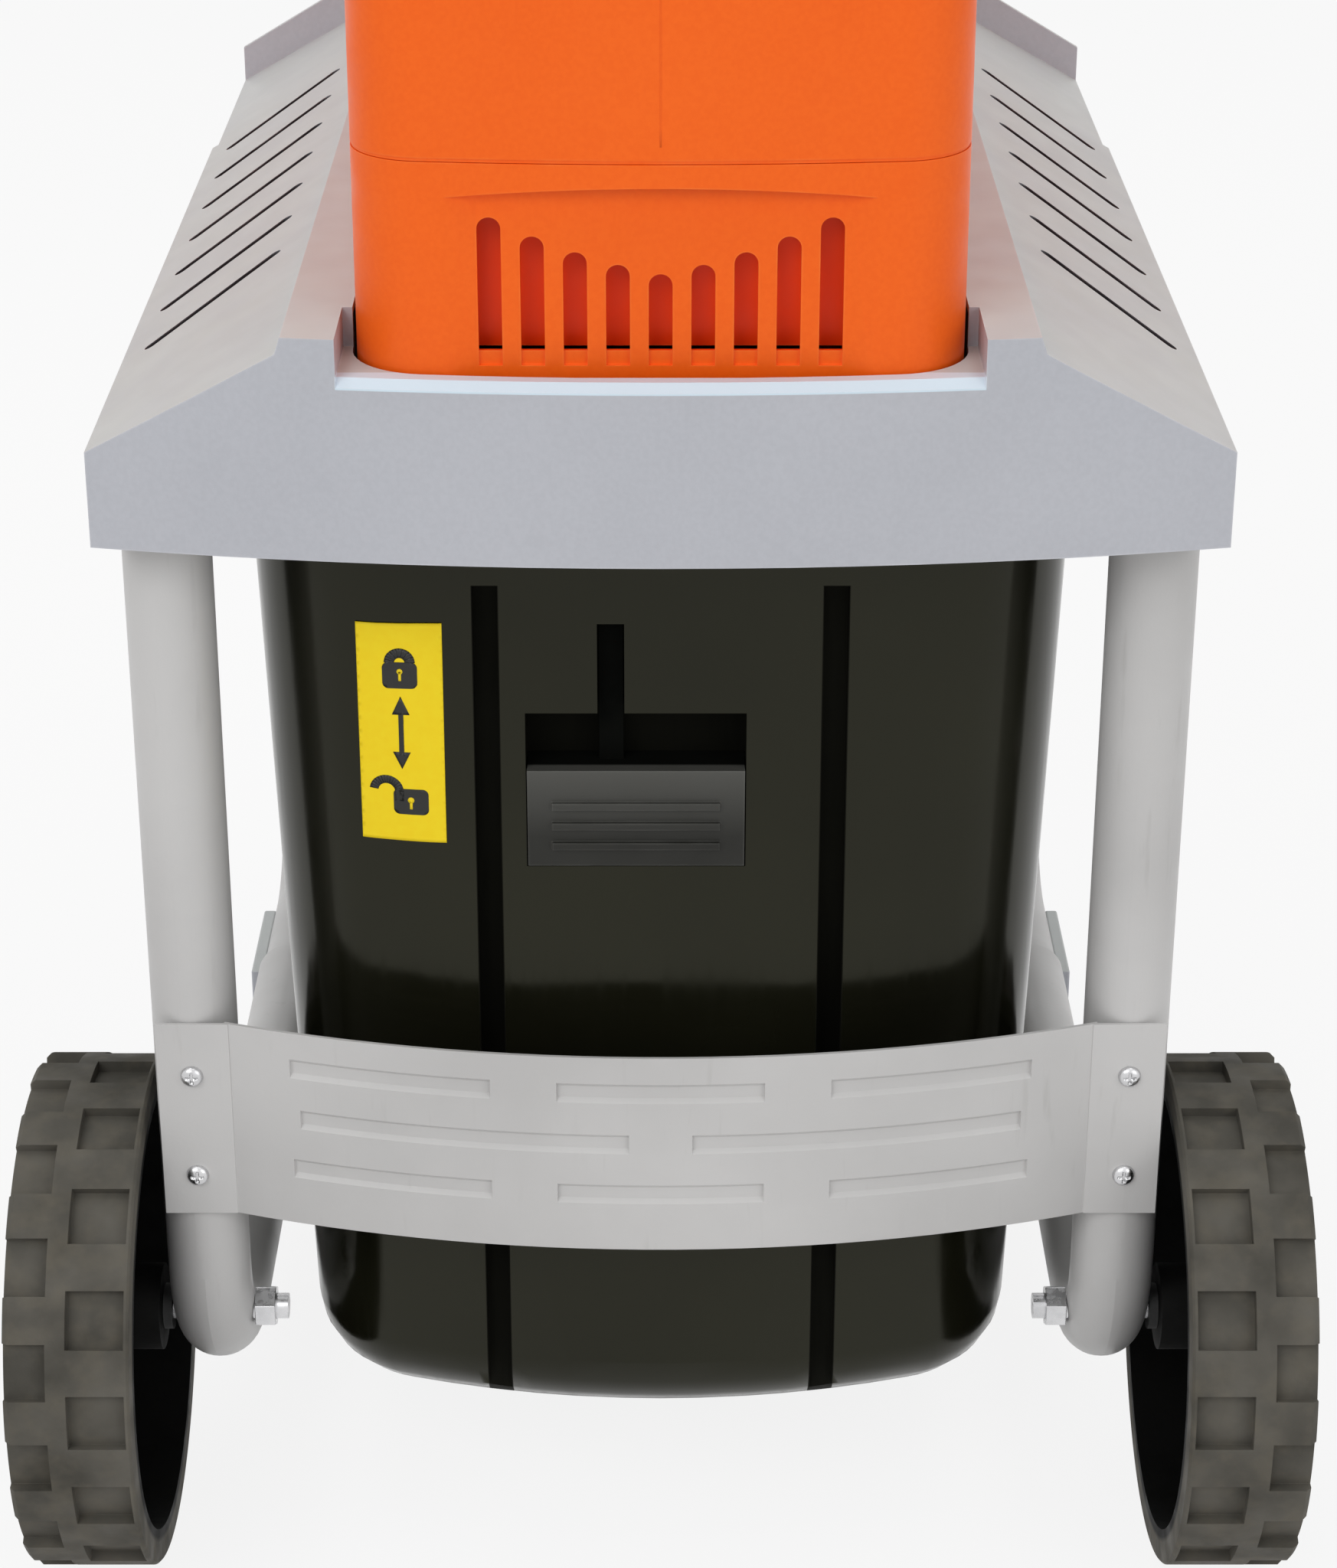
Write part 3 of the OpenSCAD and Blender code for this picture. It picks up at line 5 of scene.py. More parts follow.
import bmesh
import bpy
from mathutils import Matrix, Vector
from mathutils.bvhtree import BVHTree


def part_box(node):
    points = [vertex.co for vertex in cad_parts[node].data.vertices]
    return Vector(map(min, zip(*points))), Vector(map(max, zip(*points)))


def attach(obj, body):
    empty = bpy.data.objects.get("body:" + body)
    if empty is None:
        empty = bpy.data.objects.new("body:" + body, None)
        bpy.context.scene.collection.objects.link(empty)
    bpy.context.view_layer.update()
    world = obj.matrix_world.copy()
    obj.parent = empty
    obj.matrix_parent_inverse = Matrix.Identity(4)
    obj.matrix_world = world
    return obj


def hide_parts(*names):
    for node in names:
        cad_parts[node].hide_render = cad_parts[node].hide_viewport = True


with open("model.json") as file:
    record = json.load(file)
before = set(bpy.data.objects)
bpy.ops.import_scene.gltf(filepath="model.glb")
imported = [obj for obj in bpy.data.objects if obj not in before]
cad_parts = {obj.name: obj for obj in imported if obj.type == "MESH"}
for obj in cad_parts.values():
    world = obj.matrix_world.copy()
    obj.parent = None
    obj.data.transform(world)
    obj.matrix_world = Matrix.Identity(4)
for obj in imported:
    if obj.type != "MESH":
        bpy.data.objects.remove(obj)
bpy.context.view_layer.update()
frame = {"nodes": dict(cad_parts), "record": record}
nodes = frame["nodes"]

MM = 0.001

# Worn edges with a painted highlight: the radius that counts as an edge, and how fast the paling sets in
EDGE_R = 0.0012
EDGE_GAIN = 3.0


def linear(red, green, blue):
    """A colour written in 0 to 255 screen values, as the linear values that shaders take."""
    def channel(value):
        share = value / 255
        return share / 12.92 if share <= 0.04045 else ((share + 0.055) / 1.055) ** 2.4
    return channel(red), channel(green), channel(blue), 1.0


class Finish:
    """A material with its Principled shader, and short calls for the nodes that the finishes share."""

    def __init__(self, name):
        self.material = bpy.data.materials.new(name)
        self.material.use_nodes = True
        self.tree = self.material.node_tree
        self.shader = self.tree.nodes["Principled BSDF"]
        self.coords = self.add("ShaderNodeTexCoord").outputs["Object"]

    def add(self, kind, **settings):
        """A new node with some of its settings."""
        node = self.tree.nodes.new(kind)
        for key, value in settings.items():
            setattr(node, key, value)
        return node

    def link(self, source, target):
        self.tree.links.new(source, target)

    def place(self, stretch):
        """Object coordinates, stretched along the axes."""
        mapping = self.add("ShaderNodeMapping")
        mapping.inputs["Scale"].default_value = stretch
        self.link(self.coords, mapping.inputs["Vector"])
        return mapping.outputs["Vector"]

    def spread(self, source, low, high, start=0.35, end=0.65):
        """A value socket taken from the range start to end, by default a noise's, into low to high."""
        node = self.add("ShaderNodeMapRange")
        node.inputs["From Min"].default_value = start
        node.inputs["From Max"].default_value = end
        node.inputs["To Min"].default_value = low
        node.inputs["To Max"].default_value = high
        self.link(source, node.inputs["Value"])
        return node.outputs["Result"]

    def noise(self, scale, detail=3.0, stretch=None):
        """A cloudy value socket around 0.5, finer at a larger scale."""
        node = self.add("ShaderNodeTexNoise")
        node.inputs["Scale"].default_value = scale
        node.inputs["Detail"].default_value = detail
        self.link(self.place(stretch) if stretch else self.coords, node.inputs["Vector"])
        return node.outputs["Fac"]

    def math(self, operation, first, second=0.0):
        """A value socket worked out from one or two sockets or numbers."""
        node = self.add("ShaderNodeMath", operation=operation)
        for socket, value in zip(node.inputs, (first, second)):
            if isinstance(value, (int, float)):
                socket.default_value = value
            else:
                self.link(value, socket)
        return node.outputs[0]

    def mix(self, share, first, second):
        """A colour from first to second by a share socket; colours are sockets or linear values."""
        node = self.add("ShaderNodeMix", data_type="RGBA")
        self.link(share, node.inputs["Factor"])
        sockets = [s for s in node.inputs if s.type == "RGBA"]
        for socket, value in zip(sockets, (first, second)):
            if isinstance(value, tuple):
                socket.default_value = value
            else:
                self.link(value, socket)
        return [s for s in node.outputs if s.type == "RGBA"][0]

    def parts(self):
        """The object coordinates apart, by the axes' letters."""
        node = self.add("ShaderNodeSeparateXYZ")
        self.link(self.coords, node.inputs[0])
        return node.outputs

    def facing(self):
        """The way that a surface looks, by the axes' letters."""
        node = self.add("ShaderNodeSeparateXYZ")
        self.link(self.add("ShaderNodeTexCoord").outputs["Normal"], node.inputs[0])
        return node.outputs

    def band(self, source, low, high, soft=0.0003):
        """A share that is 1 from low to high and 0 beyond, with soft ends."""
        return self.math("MULTIPLY", self.spread(source, 0.0, 1.0, low - soft, low),
                         self.spread(source, 1.0, 0.0, high, high + soft))

    def inside(self, low, high, mirrored=False):
        """A share that is 1 in a box given by two corners and, where asked, in its mirror image in x."""
        parts = self.parts()
        across = self.math("ABSOLUTE", parts["X"]) if mirrored else parts["X"]
        share = self.band(across, low[0], high[0])
        for axis, start, end in zip("YZ", low[1:], high[1:]):
            share = self.math("MULTIPLY", share, self.band(parts[axis], start, end))
        return share

    def edges(self, radius, gain):
        """A share that rises from 0 on flat faces to 1 along worn edges."""
        rounded = self.add("ShaderNodeBevel", samples=4)
        rounded.inputs["Radius"].default_value = radius
        sharp = self.add("ShaderNodeNewGeometry")
        dot = self.add("ShaderNodeVectorMath", operation="DOT_PRODUCT")
        self.link(rounded.outputs["Normal"], dot.inputs[0])
        self.link(sharp.outputs["Normal"], dot.inputs[1])
        bend = self.math("SUBTRACT", 1.0, dot.outputs["Value"])
        node = self.add("ShaderNodeMath", operation="MULTIPLY", use_clamp=True)
        self.link(bend, node.inputs[0])
        node.inputs[1].default_value = gain
        return node.outputs[0]

    def wear_and_highlight(self, low, high):
        """A patchy share along edges, from low to high, for worn paler edges with a painted highlight."""
        patches = self.spread(self.noise(60, 4.0), low, high)
        return self.math("MULTIPLY", self.edges(EDGE_R, EDGE_GAIN), patches)

    def bump(self, height, strength, distance):
        """Lets a height socket tilt the surface."""
        node = self.add("ShaderNodeBump")
        node.inputs["Strength"].default_value = strength
        node.inputs["Distance"].default_value = distance
        self.link(height, node.inputs["Height"])
        self.link(node.outputs["Normal"], self.shader.inputs["Normal"])

    def colour(self, socket):
        self.link(socket, self.shader.inputs["Base Color"])

    def rough(self, socket):
        self.link(socket, self.shader.inputs["Roughness"])

    def specular(self, socket):
        self.link(socket, self.shader.inputs["Specular IOR Level"])

    def set(self, **values):
        """Plain values for the shader's inputs, named with _ for each blank."""
        for key, value in values.items():
            self.shader.inputs[key.replace("_", " ")].default_value = value


def moulded(name, dark, light, rough, grain=1500, depth=0.00006, edge_wear_and_highlight=None, dust=None, painted_light=None,
            shaded_walls=None, specular=0.5):
    """Moulded plastic: patchy tone, uneven gloss and a fine grain. Where given, it has dust on faces that
    look up, partly a painted highlight, another colour inside a box, as (colour, low corner, high corner),
    for painted light and shade, another one on the upright faces in a box and its mirror image, for painted
    shade, and paler edges, worn and with a painted highlight."""
    finish = Finish(name)
    cloud = finish.spread(finish.noise(14, 3.0), 0.0, 0.5)
    speck = finish.spread(finish.noise(grain / 3, 2.0), 0.0, 0.5)
    colour = finish.mix(finish.math("ADD", cloud, speck), dark, light)
    # Dust, and partly a painted highlight: faces that look up turn paler
    if dust:
        dust_and_lit_top = finish.math("MULTIPLY", finish.spread(finish.facing()["Z"], 0.0, 1.0, 0.35, 0.7),
                              finish.spread(finish.noise(30, 5.0), 0.75, 1.0))
        colour = finish.mix(dust_and_lit_top, colour, dust)
    # Painted light and shade: a box of the surface takes another colour, a highlight or shade as given
    if painted_light:
        colour = finish.mix(finish.inside(*painted_light[1:]), colour, painted_light[0])
    # Painted shade: upright faces inside a box and its mirror image turn darker
    if shaded_walls:
        tilt = finish.math("ABSOLUTE", finish.facing()["Z"])
        upright = finish.math("MULTIPLY", finish.spread(tilt, 1.0, 0.0, 0.3, 0.5),
                              finish.inside(*shaded_walls[1:], mirrored=True))
        colour = finish.mix(upright, colour, shaded_walls[0])
    # Paler edges: wear, and a painted highlight
    if edge_wear_and_highlight:
        colour = finish.mix(finish.wear_and_highlight(0.1, 0.8), colour, edge_wear_and_highlight)
    finish.colour(colour)
    finish.rough(finish.spread(finish.noise(70, 4.0), rough[0], rough[1]))
    finish.bump(finish.noise(grain, 2.0), 0.5, depth)
    finish.set(Specular_IOR_Level=specular)
    return finish.material


def metal(name, dark, light, rough, stretch=(1, 1, 1), scale=400, depth=0.00003):
    """Bare or plated metal with stains and a grain, which a stretch draws out along an axis."""
    finish = Finish(name)
    tone = finish.spread(finish.noise(25, 6.0), 0.0, 1.0)
    finish.colour(finish.mix(tone, dark, light))
    grain = finish.noise(scale, 3.0, stretch)
    finish.rough(finish.spread(grain, rough[0], rough[1]))
    finish.bump(grain, 0.4, depth)
    finish.set(Metallic=1.0)
    return finish.material


def painted(name, dark, light, rough):
    """Sprayed paint on tube and sheet: an orange-peel skin and faint scuffs."""
    finish = Finish(name)
    tone = finish.spread(finish.noise(9, 5.0), 0.0, 1.0)
    colour = finish.mix(tone, dark, light)
    streaks = finish.spread(finish.noise(220, 6.0, (1, 1, 0.12)), 0.0, 1.0, 0.62, 0.75)
    scuffs = finish.math("MULTIPLY", streaks, finish.spread(finish.noise(13, 3.0), 0.0, 0.2))
    finish.colour(finish.mix(scuffs, colour, linear(150, 148, 143)))
    finish.rough(finish.spread(finish.noise(45, 4.0), rough[0], rough[1]))
    finish.bump(finish.noise(520, 2.0), 0.35, 0.00012)
    return finish.material


def wheel_plastic():
    """Wheel plastic: a dusty grey tread, and painted shade that turns the webs inside the rim black."""
    finish = Finish("wheel_plastic")
    tone = finish.spread(finish.noise(26, 6.0), 0.0, 1.0)
    tread = finish.mix(tone, linear(72, 70, 64), linear(99, 96, 89))
    dust = finish.spread(finish.noise(95, 6.0), 0.0, 0.35, 0.45, 0.7)
    tread = finish.mix(dust, tread, linear(110, 104, 91))
    parts = finish.parts()
    along = finish.math("SUBTRACT", parts["Y"], AXLE_Y)
    up = finish.math("SUBTRACT", parts["Z"], AXLE_Z)
    far = finish.math("SQRT", finish.math("ADD", finish.math("MULTIPLY", along, along),
                                          finish.math("MULTIPLY", up, up)))
    # Painted shade: inside the rim the wheel turns black
    outer = finish.spread(far, 0.0, 1.0, *RIM_R)
    finish.colour(finish.mix(outer, linear(11, 11, 10), tread))
    finish.rough(finish.spread(finish.noise(80, 5.0), 0.62, 0.82))
    finish.bump(finish.noise(900, 4.0), 0.5, 0.00012)
    finish.specular(finish.spread(outer, 0.16, 0.2, 0.0, 1.0))
    return finish.material


def box_gloss():
    """Glossy black plastic with moulding haze and fine rubbing marks; in its recesses it is dull, and
    painted shade makes them black.
    """
    finish = Finish("box_gloss")
    tone = finish.spread(finish.noise(7, 5.0), 0.0, 1.0)
    # Painted shade: the grooves, pocket and slot turn black
    recess_shade = finish.inside(*GROOVES, mirrored=True)
    for space in (POCKET, SLOT):
        recess_shade = finish.math("MAXIMUM", recess_shade, finish.inside(*space))
    skin = finish.mix(tone, linear(15, 15, 8), linear(24, 24, 15))
    finish.colour(finish.mix(recess_shade, skin, linear(3, 3, 2)))
    rubs = finish.spread(finish.noise(300, 5.0, (1, 1, 0.08)), 0.0, 0.08, 0.5, 0.75)
    haze = finish.spread(finish.noise(24, 4.0), 0.13, 0.2)
    finish.rough(finish.math("ADD", finish.math("ADD", haze, rubs), finish.math("MULTIPLY", recess_shade, 0.6)))
    finish.bump(finish.noise(34, 2.0), 0.12, 0.0006)
    finish.specular(finish.spread(recess_shade, 0.28, 0.12, 0.0, 1.0))
    finish.set(Specular_Tint=(1.0, 0.99, 0.78, 1.0))
    return finish.material


def grip_plastic():
    """Latch plastic: a grey grip, paler towards its top with a painted highlight and with worn, highlit
    edges, and a tongue that painted shade turns black in its slot.
    """
    finish = Finish("grip_plastic")
    tone = finish.spread(finish.noise(22, 4.0), 0.0, 1.0)
    grip = finish.mix(tone, linear(31, 31, 27), linear(39, 39, 35))
    # Painted highlight: the grip turns paler towards its top
    lit_top = finish.spread(finish.parts()["Z"], 0.0, 1.0, *LIT_TOP_Z)
    grip = finish.mix(lit_top, grip, linear(79, 79, 75))
    # Paler edges: wear, and a painted highlight
    grip = finish.mix(finish.wear_and_highlight(0.2, 0.9), grip, linear(104, 104, 100))
    # Painted shade: the tongue turns black deeper in its slot
    painted_light = finish.spread(finish.parts()["Y"], 0.0, 1.0, *TONGUE_Y)
    finish.colour(finish.mix(painted_light, grip, linear(8, 9, 7)))
    finish.rough(finish.math("ADD", finish.spread(finish.noise(80, 4.0), 0.36, 0.5),
                             finish.math("MULTIPLY", painted_light, 0.4)))
    finish.bump(finish.noise(1300, 2.0), 0.5, 0.00006)
    finish.specular(finish.spread(painted_light, 0.3, 0.05, 0.0, 1.0))
    return finish.material


def corners(across, along, up):
    """The low and high corners of a box from its ranges in x, y and z."""
    return tuple(zip(across, along, up))


# Wheels turn about this line, and their webs, black with painted shade, end at the rim
axle_low, axle_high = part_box("right_axle")
AXLE_Y = (axle_low.y + axle_high.y) / 2
AXLE_Z = (axle_low.z + axle_high.z) / 2
wheel_low, wheel_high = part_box("right_wheel")
WHEEL_R = (wheel_high.z - wheel_low.z) / 2
RIM_R = (WHEEL_R - 0.0105, WHEEL_R - 0.0085)

# Heights over which a painted highlight turns the latch's grip paler, and the depth at which its tongue
# begins, where painted shade sets in
latch_low, latch_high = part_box("latch")
LIT_TOP_Z = (latch_low.z + 0.012, latch_low.z + 0.038)
TONGUE_Y = (latch_low.y + 0.006, latch_low.y + 0.0075)

# Recesses in the box front, which get painted shade: the grooves on both sides, the pocket of the grip and
# the slot of its stem
box_low, box_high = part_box("collection_box")
GROOVE_X = (0.0583, 0.0677)
GROOVE_Y = (box_low.y - 0.01, box_low.y + 0.032)
GROOVE_Z = (box_low.z, box_high.z - 0.018)
POCKET_X = (latch_low.x - 0.001, latch_high.x + 0.001)
POCKET_Y = (latch_low.y + 0.0062, latch_low.y + 0.036)
POCKET_Z = (latch_low.z - 0.0015, latch_low.z + 0.0637)
SLOT_X = (-0.0231, -0.0129)
SLOT_Y = (latch_low.y + 0.007, latch_low.y + 0.036)
SLOT_Z = (POCKET_Z[1] - 0.003, POCKET_Z[1] + 0.034)
GROOVES = corners(GROOVE_X, GROOVE_Y, GROOVE_Z)
POCKET = corners(POCKET_X, POCKET_Y, POCKET_Z)
SLOT = corners(SLOT_X, SLOT_Y, SLOT_Z)

# Space behind the front of the motor cover, seen through its slots, tinted by painted shade
cover_low, cover_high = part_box("motor_cover")
VENTS_X = (-0.066, 0.066)
VENTS_Y = (cover_low.y + 0.0075, cover_low.y + 0.06)
BEHIND_SLOTS = corners(VENTS_X, VENTS_Y, (cover_low.z, cover_high.z))

# Lip at the low front edge of the deck, pale with a painted highlight, and the space of the slots in its
# right roof, dark with painted shade
deck_low, deck_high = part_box("deck")
LIP_X = (cover_low.x - 0.005, cover_high.x + 0.005)
LIP_Y = (deck_low.y - 0.001, deck_low.y + 0.0135)
LIP_Z = (deck_low.z + 0.0625, deck_low.z + 0.0668)
ROOF_X = (deck_high.x - 0.058, deck_high.x - 0.0085)
ROOF_Y = (deck_low.y + 0.085, deck_low.y + 0.44)
ROOF_Z = (deck_low.z + 0.01, deck_high.z)
LIP = corners(LIP_X, LIP_Y, LIP_Z)
ROOF_SLOTS = corners(ROOF_X, ROOF_Y, ROOF_Z)

# One finish for each material slot of the record
# The paler edge colours here are wear and a painted highlight
ORANGE = {"dark": linear(250, 100, 14), "light": linear(255, 107, 20), "rough": (0.38, 0.48),
          "edge_wear_and_highlight": linear(255, 138, 62), "specular": 0.26}
# The deck's dust colour on faces that look up is partly a painted highlight
DECK = {"dark": linear(184, 186, 193), "light": linear(191, 193, 200), "rough": (0.42, 0.52),
        "edge_wear_and_highlight": linear(222, 223, 228), "dust": linear(200, 204, 202)}
finishes = {
    "tube_paint": painted("tube_paint", linear(195, 194, 193), linear(207, 206, 205), (0.36, 0.48)),
    "zinc": metal("zinc", (0.52, 0.52, 0.53, 1), (0.72, 0.72, 0.73, 1), (0.2, 0.38)),
    "wheel_plastic": wheel_plastic(),
    # Paler edges: wear, and a painted highlight
    "dark_plastic": moulded("dark_plastic", linear(34, 34, 34), linear(44, 44, 44), (0.42, 0.58),
                            edge_wear_and_highlight=linear(70, 70, 70)),
    "deck_plastic": moulded("deck_plastic", **DECK),
    "box_plastic": box_gloss(),
    "grip_plastic": grip_plastic(),
    "orange_plastic": moulded("orange_plastic", **ORANGE),
    "red_plastic": moulded("red_plastic", linear(186, 28, 22), linear(204, 36, 28), (0.25, 0.35)),
    "green_plastic": moulded("green_plastic", linear(28, 130, 58), linear(38, 148, 68), (0.25, 0.35)),
    "white_plastic": moulded("white_plastic", linear(205, 205, 200), linear(219, 219, 214), (0.3, 0.42)),
    "cast_aluminium": metal("cast_aluminium", (0.42, 0.43, 0.44, 1), (0.56, 0.57, 0.58, 1), (0.42, 0.6),
                            scale=900, depth=0.0001),
    "steel": metal("steel", (0.4, 0.4, 0.41, 1), (0.55, 0.55, 0.56, 1), (0.24, 0.4), stretch=(0.1, 1, 1)),
    "copper": metal("copper", (0.5, 0.24, 0.1, 1), (0.62, 0.32, 0.14, 1), (0.3, 0.45), stretch=(0.05, 1, 1)),
    "gear_nylon": moulded("gear_nylon", linear(214, 205, 176), linear(226, 218, 192), (0.4, 0.5)),
}

# Every node takes the finish of its slot
for subpart in frame["record"]["subparts"]:
    part = nodes[subpart["node"]]
    part.data.materials.clear()
    part.data.materials.append(finishes[subpart["material_slot"]])

# Painted shade makes the roof's slots dark, and a painted highlight makes the lip before the cover pale
slatted = moulded("slatted_deck", **DECK, painted_light=(linear(216, 234, 246), *LIP),
                  shaded_walls=(linear(58, 58, 64), *ROOF_SLOTS))
nodes["deck"].data.materials[0] = slatted

# Painted shade: behind the cover's slots its inside is tinted a deeper, redder orange
slotted = moulded("slotted_orange", **ORANGE, painted_light=(linear(255, 74, 5), *BEHIND_SLOTS))
nodes["motor_cover"].data.materials[0] = slotted

# Near points are joined, flat faces are merged, and edges sharper than the last angle are rounded
WELD_GAP = 0.00001
FLAT_ANGLE = math.radians(0.5)
SHARP_ANGLE = math.radians(32)


def soften(name, width, segments):
    """Rounds the sharp edges of a CAD node."""
    part = nodes[name]
    with bpy.context.temp_override(object=part, active_object=part, selected_objects=[part]):
        bpy.ops.mesh.customdata_custom_splitnormals_clear()
    part.data.shade_smooth()
    weld = part.modifiers.new("weld", "WELD")
    weld.merge_threshold = WELD_GAP
    flat = part.modifiers.new("flat", "DECIMATE")
    flat.decimate_type = "DISSOLVE"
    flat.angle_limit = FLAT_ANGLE
    bevel = part.modifiers.new("bevel", "BEVEL")
    bevel.width = width
    bevel.segments = segments
    bevel.limit_method = "ANGLE"
    bevel.angle_limit = SHARP_ANGLE
    normals = part.modifiers.new("normals", "WEIGHTED_NORMAL")
    normals.keep_sharp = True


# Width of the rounding and its steps, for each node whose edges show
SOFT_EDGES = (
    ("deck", 0.0014, 3), ("motor_cover", 0.0009, 2), ("hopper", 0.0012, 3),
    ("collection_box", 0.0012, 3), ("latch", 0.0008, 2), ("front_brace", 0.0005, 2),
    ("left_foot", 0.0015, 3), ("right_foot", 0.0015, 3),
    ("left_wheel", 0.0009, 2), ("right_wheel", 0.0009, 2), ("switch_box", 0.0015, 3),
    ("adjusting_knob", 0.0012, 3), ("direction_knob", 0.0008, 2), ("mains_inlet", 0.0008, 2),
    ("left_hub_cap", 0.0015, 3), ("right_hub_cap", 0.0015, 3), ("on_button", 0.0008, 3),
    ("off_button", 0.0008, 3), ("reset_button", 0.0006, 3), ("axle_nuts", 0.0006, 2))
for name, width, segments in SOFT_EDGES:
    soften(name, width, segments)

# Distance from which a surface is met, and the most rounds of cuts in a decal
FAR_OFF = 2
MOST_CUTS = 6


class Skin:
    """Points on a CAD node's surface, met along a direction, with the way out of the surface."""

    def __init__(self, name, direction):
        mesh = nodes[name].data
        faces = [tuple(p.vertices) for p in mesh.polygons]
        self.tree = BVHTree.FromPolygons([v.co for v in mesh.vertices], faces)
        self.direction = Vector(direction)

    def at(self, point):
        """The first place met on the line through a point, and the way out of the surface there."""
        start = Vector(point) - self.direction * FAR_OFF
        place, normal, _, _ = self.tree.ray_cast(start, self.direction)
        return place, normal if normal.dot(self.direction) < 0 else -normal


def piece(name, mesh, body, material):
    """An object of this script's own that rides on a body."""
    mesh.materials.append(material)
    made = bpy.data.objects.new(name, mesh)
    bpy.context.scene.collection.objects.link(made)
    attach(made, body)
    return made


def decal(name, skin, outlines, centre, layer, body, material, longest=0.0022):
    """Thin flat shapes laid on a front or back surface. The outlines are in millimetres from the centre, x
    and z, and the layer gives how far they lift off and how thick they are."""
    lift, thick = layer
    turn = 1 if skin.direction.y > 0 else -1
    form = bmesh.new()
    for outline in outlines:
        form.faces.new([form.verts.new((centre[0] + x * MM, 0, centre[1] + z * MM))
                        for x, z in outline[::turn]])
    bmesh.ops.triangulate(form, faces=form.faces)
    for _ in range(MOST_CUTS):
        long_edges = [e for e in form.edges if e.calc_length() > longest]
        if not long_edges:
            break
        bmesh.ops.subdivide_edges(form, edges=long_edges, cuts=1)
        bmesh.ops.triangulate(form, faces=form.faces)
    for vert in form.verts:
        place, normal = skin.at(vert.co)
        vert.co = place + normal * lift
    mesh = bpy.data.meshes.new(name)
    form.to_mesh(mesh)
    form.free()
    mesh.shade_smooth()
    made = piece(name, mesh, body, material)
    shell = made.modifiers.new("shell", "SOLIDIFY")
    shell.thickness = thick
    shell.offset = 1


def rect(x0, z0, x1, z1):
    """The outline of an upright rectangle from two corners."""
    return [(x0, z0), (x1, z0), (x1, z1), (x0, z1)]


def arc(cx, cz, r, start, end, steps=14):
    """Points along a part of a circle, with the angles in degrees."""
    return [(cx + r * math.cos(math.radians(start + (end - start) * i / steps)),
             cz + r * math.sin(math.radians(start + (end - start) * i / steps))) for i in range(steps + 1)]


def bow(cx, cz, inner, outer, start, end, steps=14):
    """Quads along a bent bar."""
    outside = arc(cx, cz, outer, start, end, steps)
    inside = arc(cx, cz, inner, start, end, steps)
    return [[inside[i], outside[i], outside[i + 1], inside[i + 1]] for i in range(steps)]


def round_rect(x0, z0, x1, z1, r):
    """The outline of a rectangle with round corners."""
    return (arc(x1 - r, z0 + r, r, -90, 0, 6) + arc(x1 - r, z1 - r, r, 0, 90, 6)
            + arc(x0 + r, z1 - r, r, 90, 180, 6) + arc(x0 + r, z0 + r, r, 180, 270, 6))


# Directions in which a front and a back surface are met
FRONT = (0, 1, 0)
BACK = (0, -1, 0)

# Layers of the decals, as the lift off the surface and the thickness
PLATE = (0.0003, 0.0003)
PRINT = (0.00062, 0.0001)
OVERPRINT = (0.00074, 0.00006)
MARK = (0.00005, 0.0001)
FILM = (0.00002, 0.00003)

# Depth of the grain on what is printed
INK_GRAIN = 0.00002

# Yellow plate with a shut padlock, an up and down arrow and an open padlock
yellow = moulded("label_yellow", linear(253, 219, 22), linear(255, 226, 32), (0.34, 0.45), grain=900,
                 depth=INK_GRAIN, specular=0.25)
black_ink = moulded("label_black", linear(18, 18, 16), linear(26, 26, 23), (0.35, 0.5), grain=900,
                    depth=INK_GRAIN)
box_front = Skin("collection_box", FRONT)
LABEL = (box_low.x + 0.061, box_low.z + 0.295)
decal("latch_label", box_front, [rect(-15.5, -43, 15.5, 43)], LABEL, PLATE, "box", yellow)
shut_lock = [round_rect(-6.3, 17.8, 6.3, 28, 2.2)] + bow(0, 27.8, 1.9, 5.6, 0, 180)
arrow = [rect(-0.9, -9, 0.9, 9), [(-3.2, 7.5), (3.2, 7.5), (0, 14.7)],
         [(3.2, -7.3), (-3.2, -7.3), (0, -14)]]
open_lock = ([round_rect(-3.5, -32.2, 9.3, -22, 2.2)] + bow(-6, -23.2, 3.1, 6.3, 0, 172)
             + [rect(-2.9, -27, 0.3, -23)])
decal("latch_marks", box_front, shut_lock + arrow + open_lock, LABEL, PRINT, "box", black_ink)
keyholes = [arc(0, 24.4, 1.1, 0, 330, 11), rect(-0.5, 20.8, 0.5, 24.4), arc(2.9, -26.4, 1.2, 0, 330, 11),
            rect(2.4, -30, 3.4, -26.4)]
decal("latch_keyholes", box_front, keyholes, LABEL, OVERPRINT, "box", yellow)

# Faint mould line up the middle of the hopper front, a film of darker orange as painted shade
mould_line_shade = moulded("mould_line_shade", linear(241, 94, 12), linear(247, 100, 17), (0.38, 0.48), specular=0.26)
hopper_low, hopper_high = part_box("hopper")
LINE = ((hopper_low.x + hopper_high.x) / 2, hopper_low.z + 0.0558)
decal("hopper_mould_line", Skin("hopper", FRONT), [rect(-0.35, -50, 0.35, 60)], LINE, FILM,
      "frame", mould_line_shade, longest=0.012)

# Marks on the controls at the back: on and off, the two directions, and the plate's plus and minus
white_ink = moulded("control_white", linear(226, 226, 222), linear(236, 236, 232), (0.35, 0.5),
                    depth=INK_GRAIN)


def middle(name):
    """The middle of a node, seen from the front."""
    low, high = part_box(name)
    return (low.x + high.x) / 2, (low.z + high.z) / 2


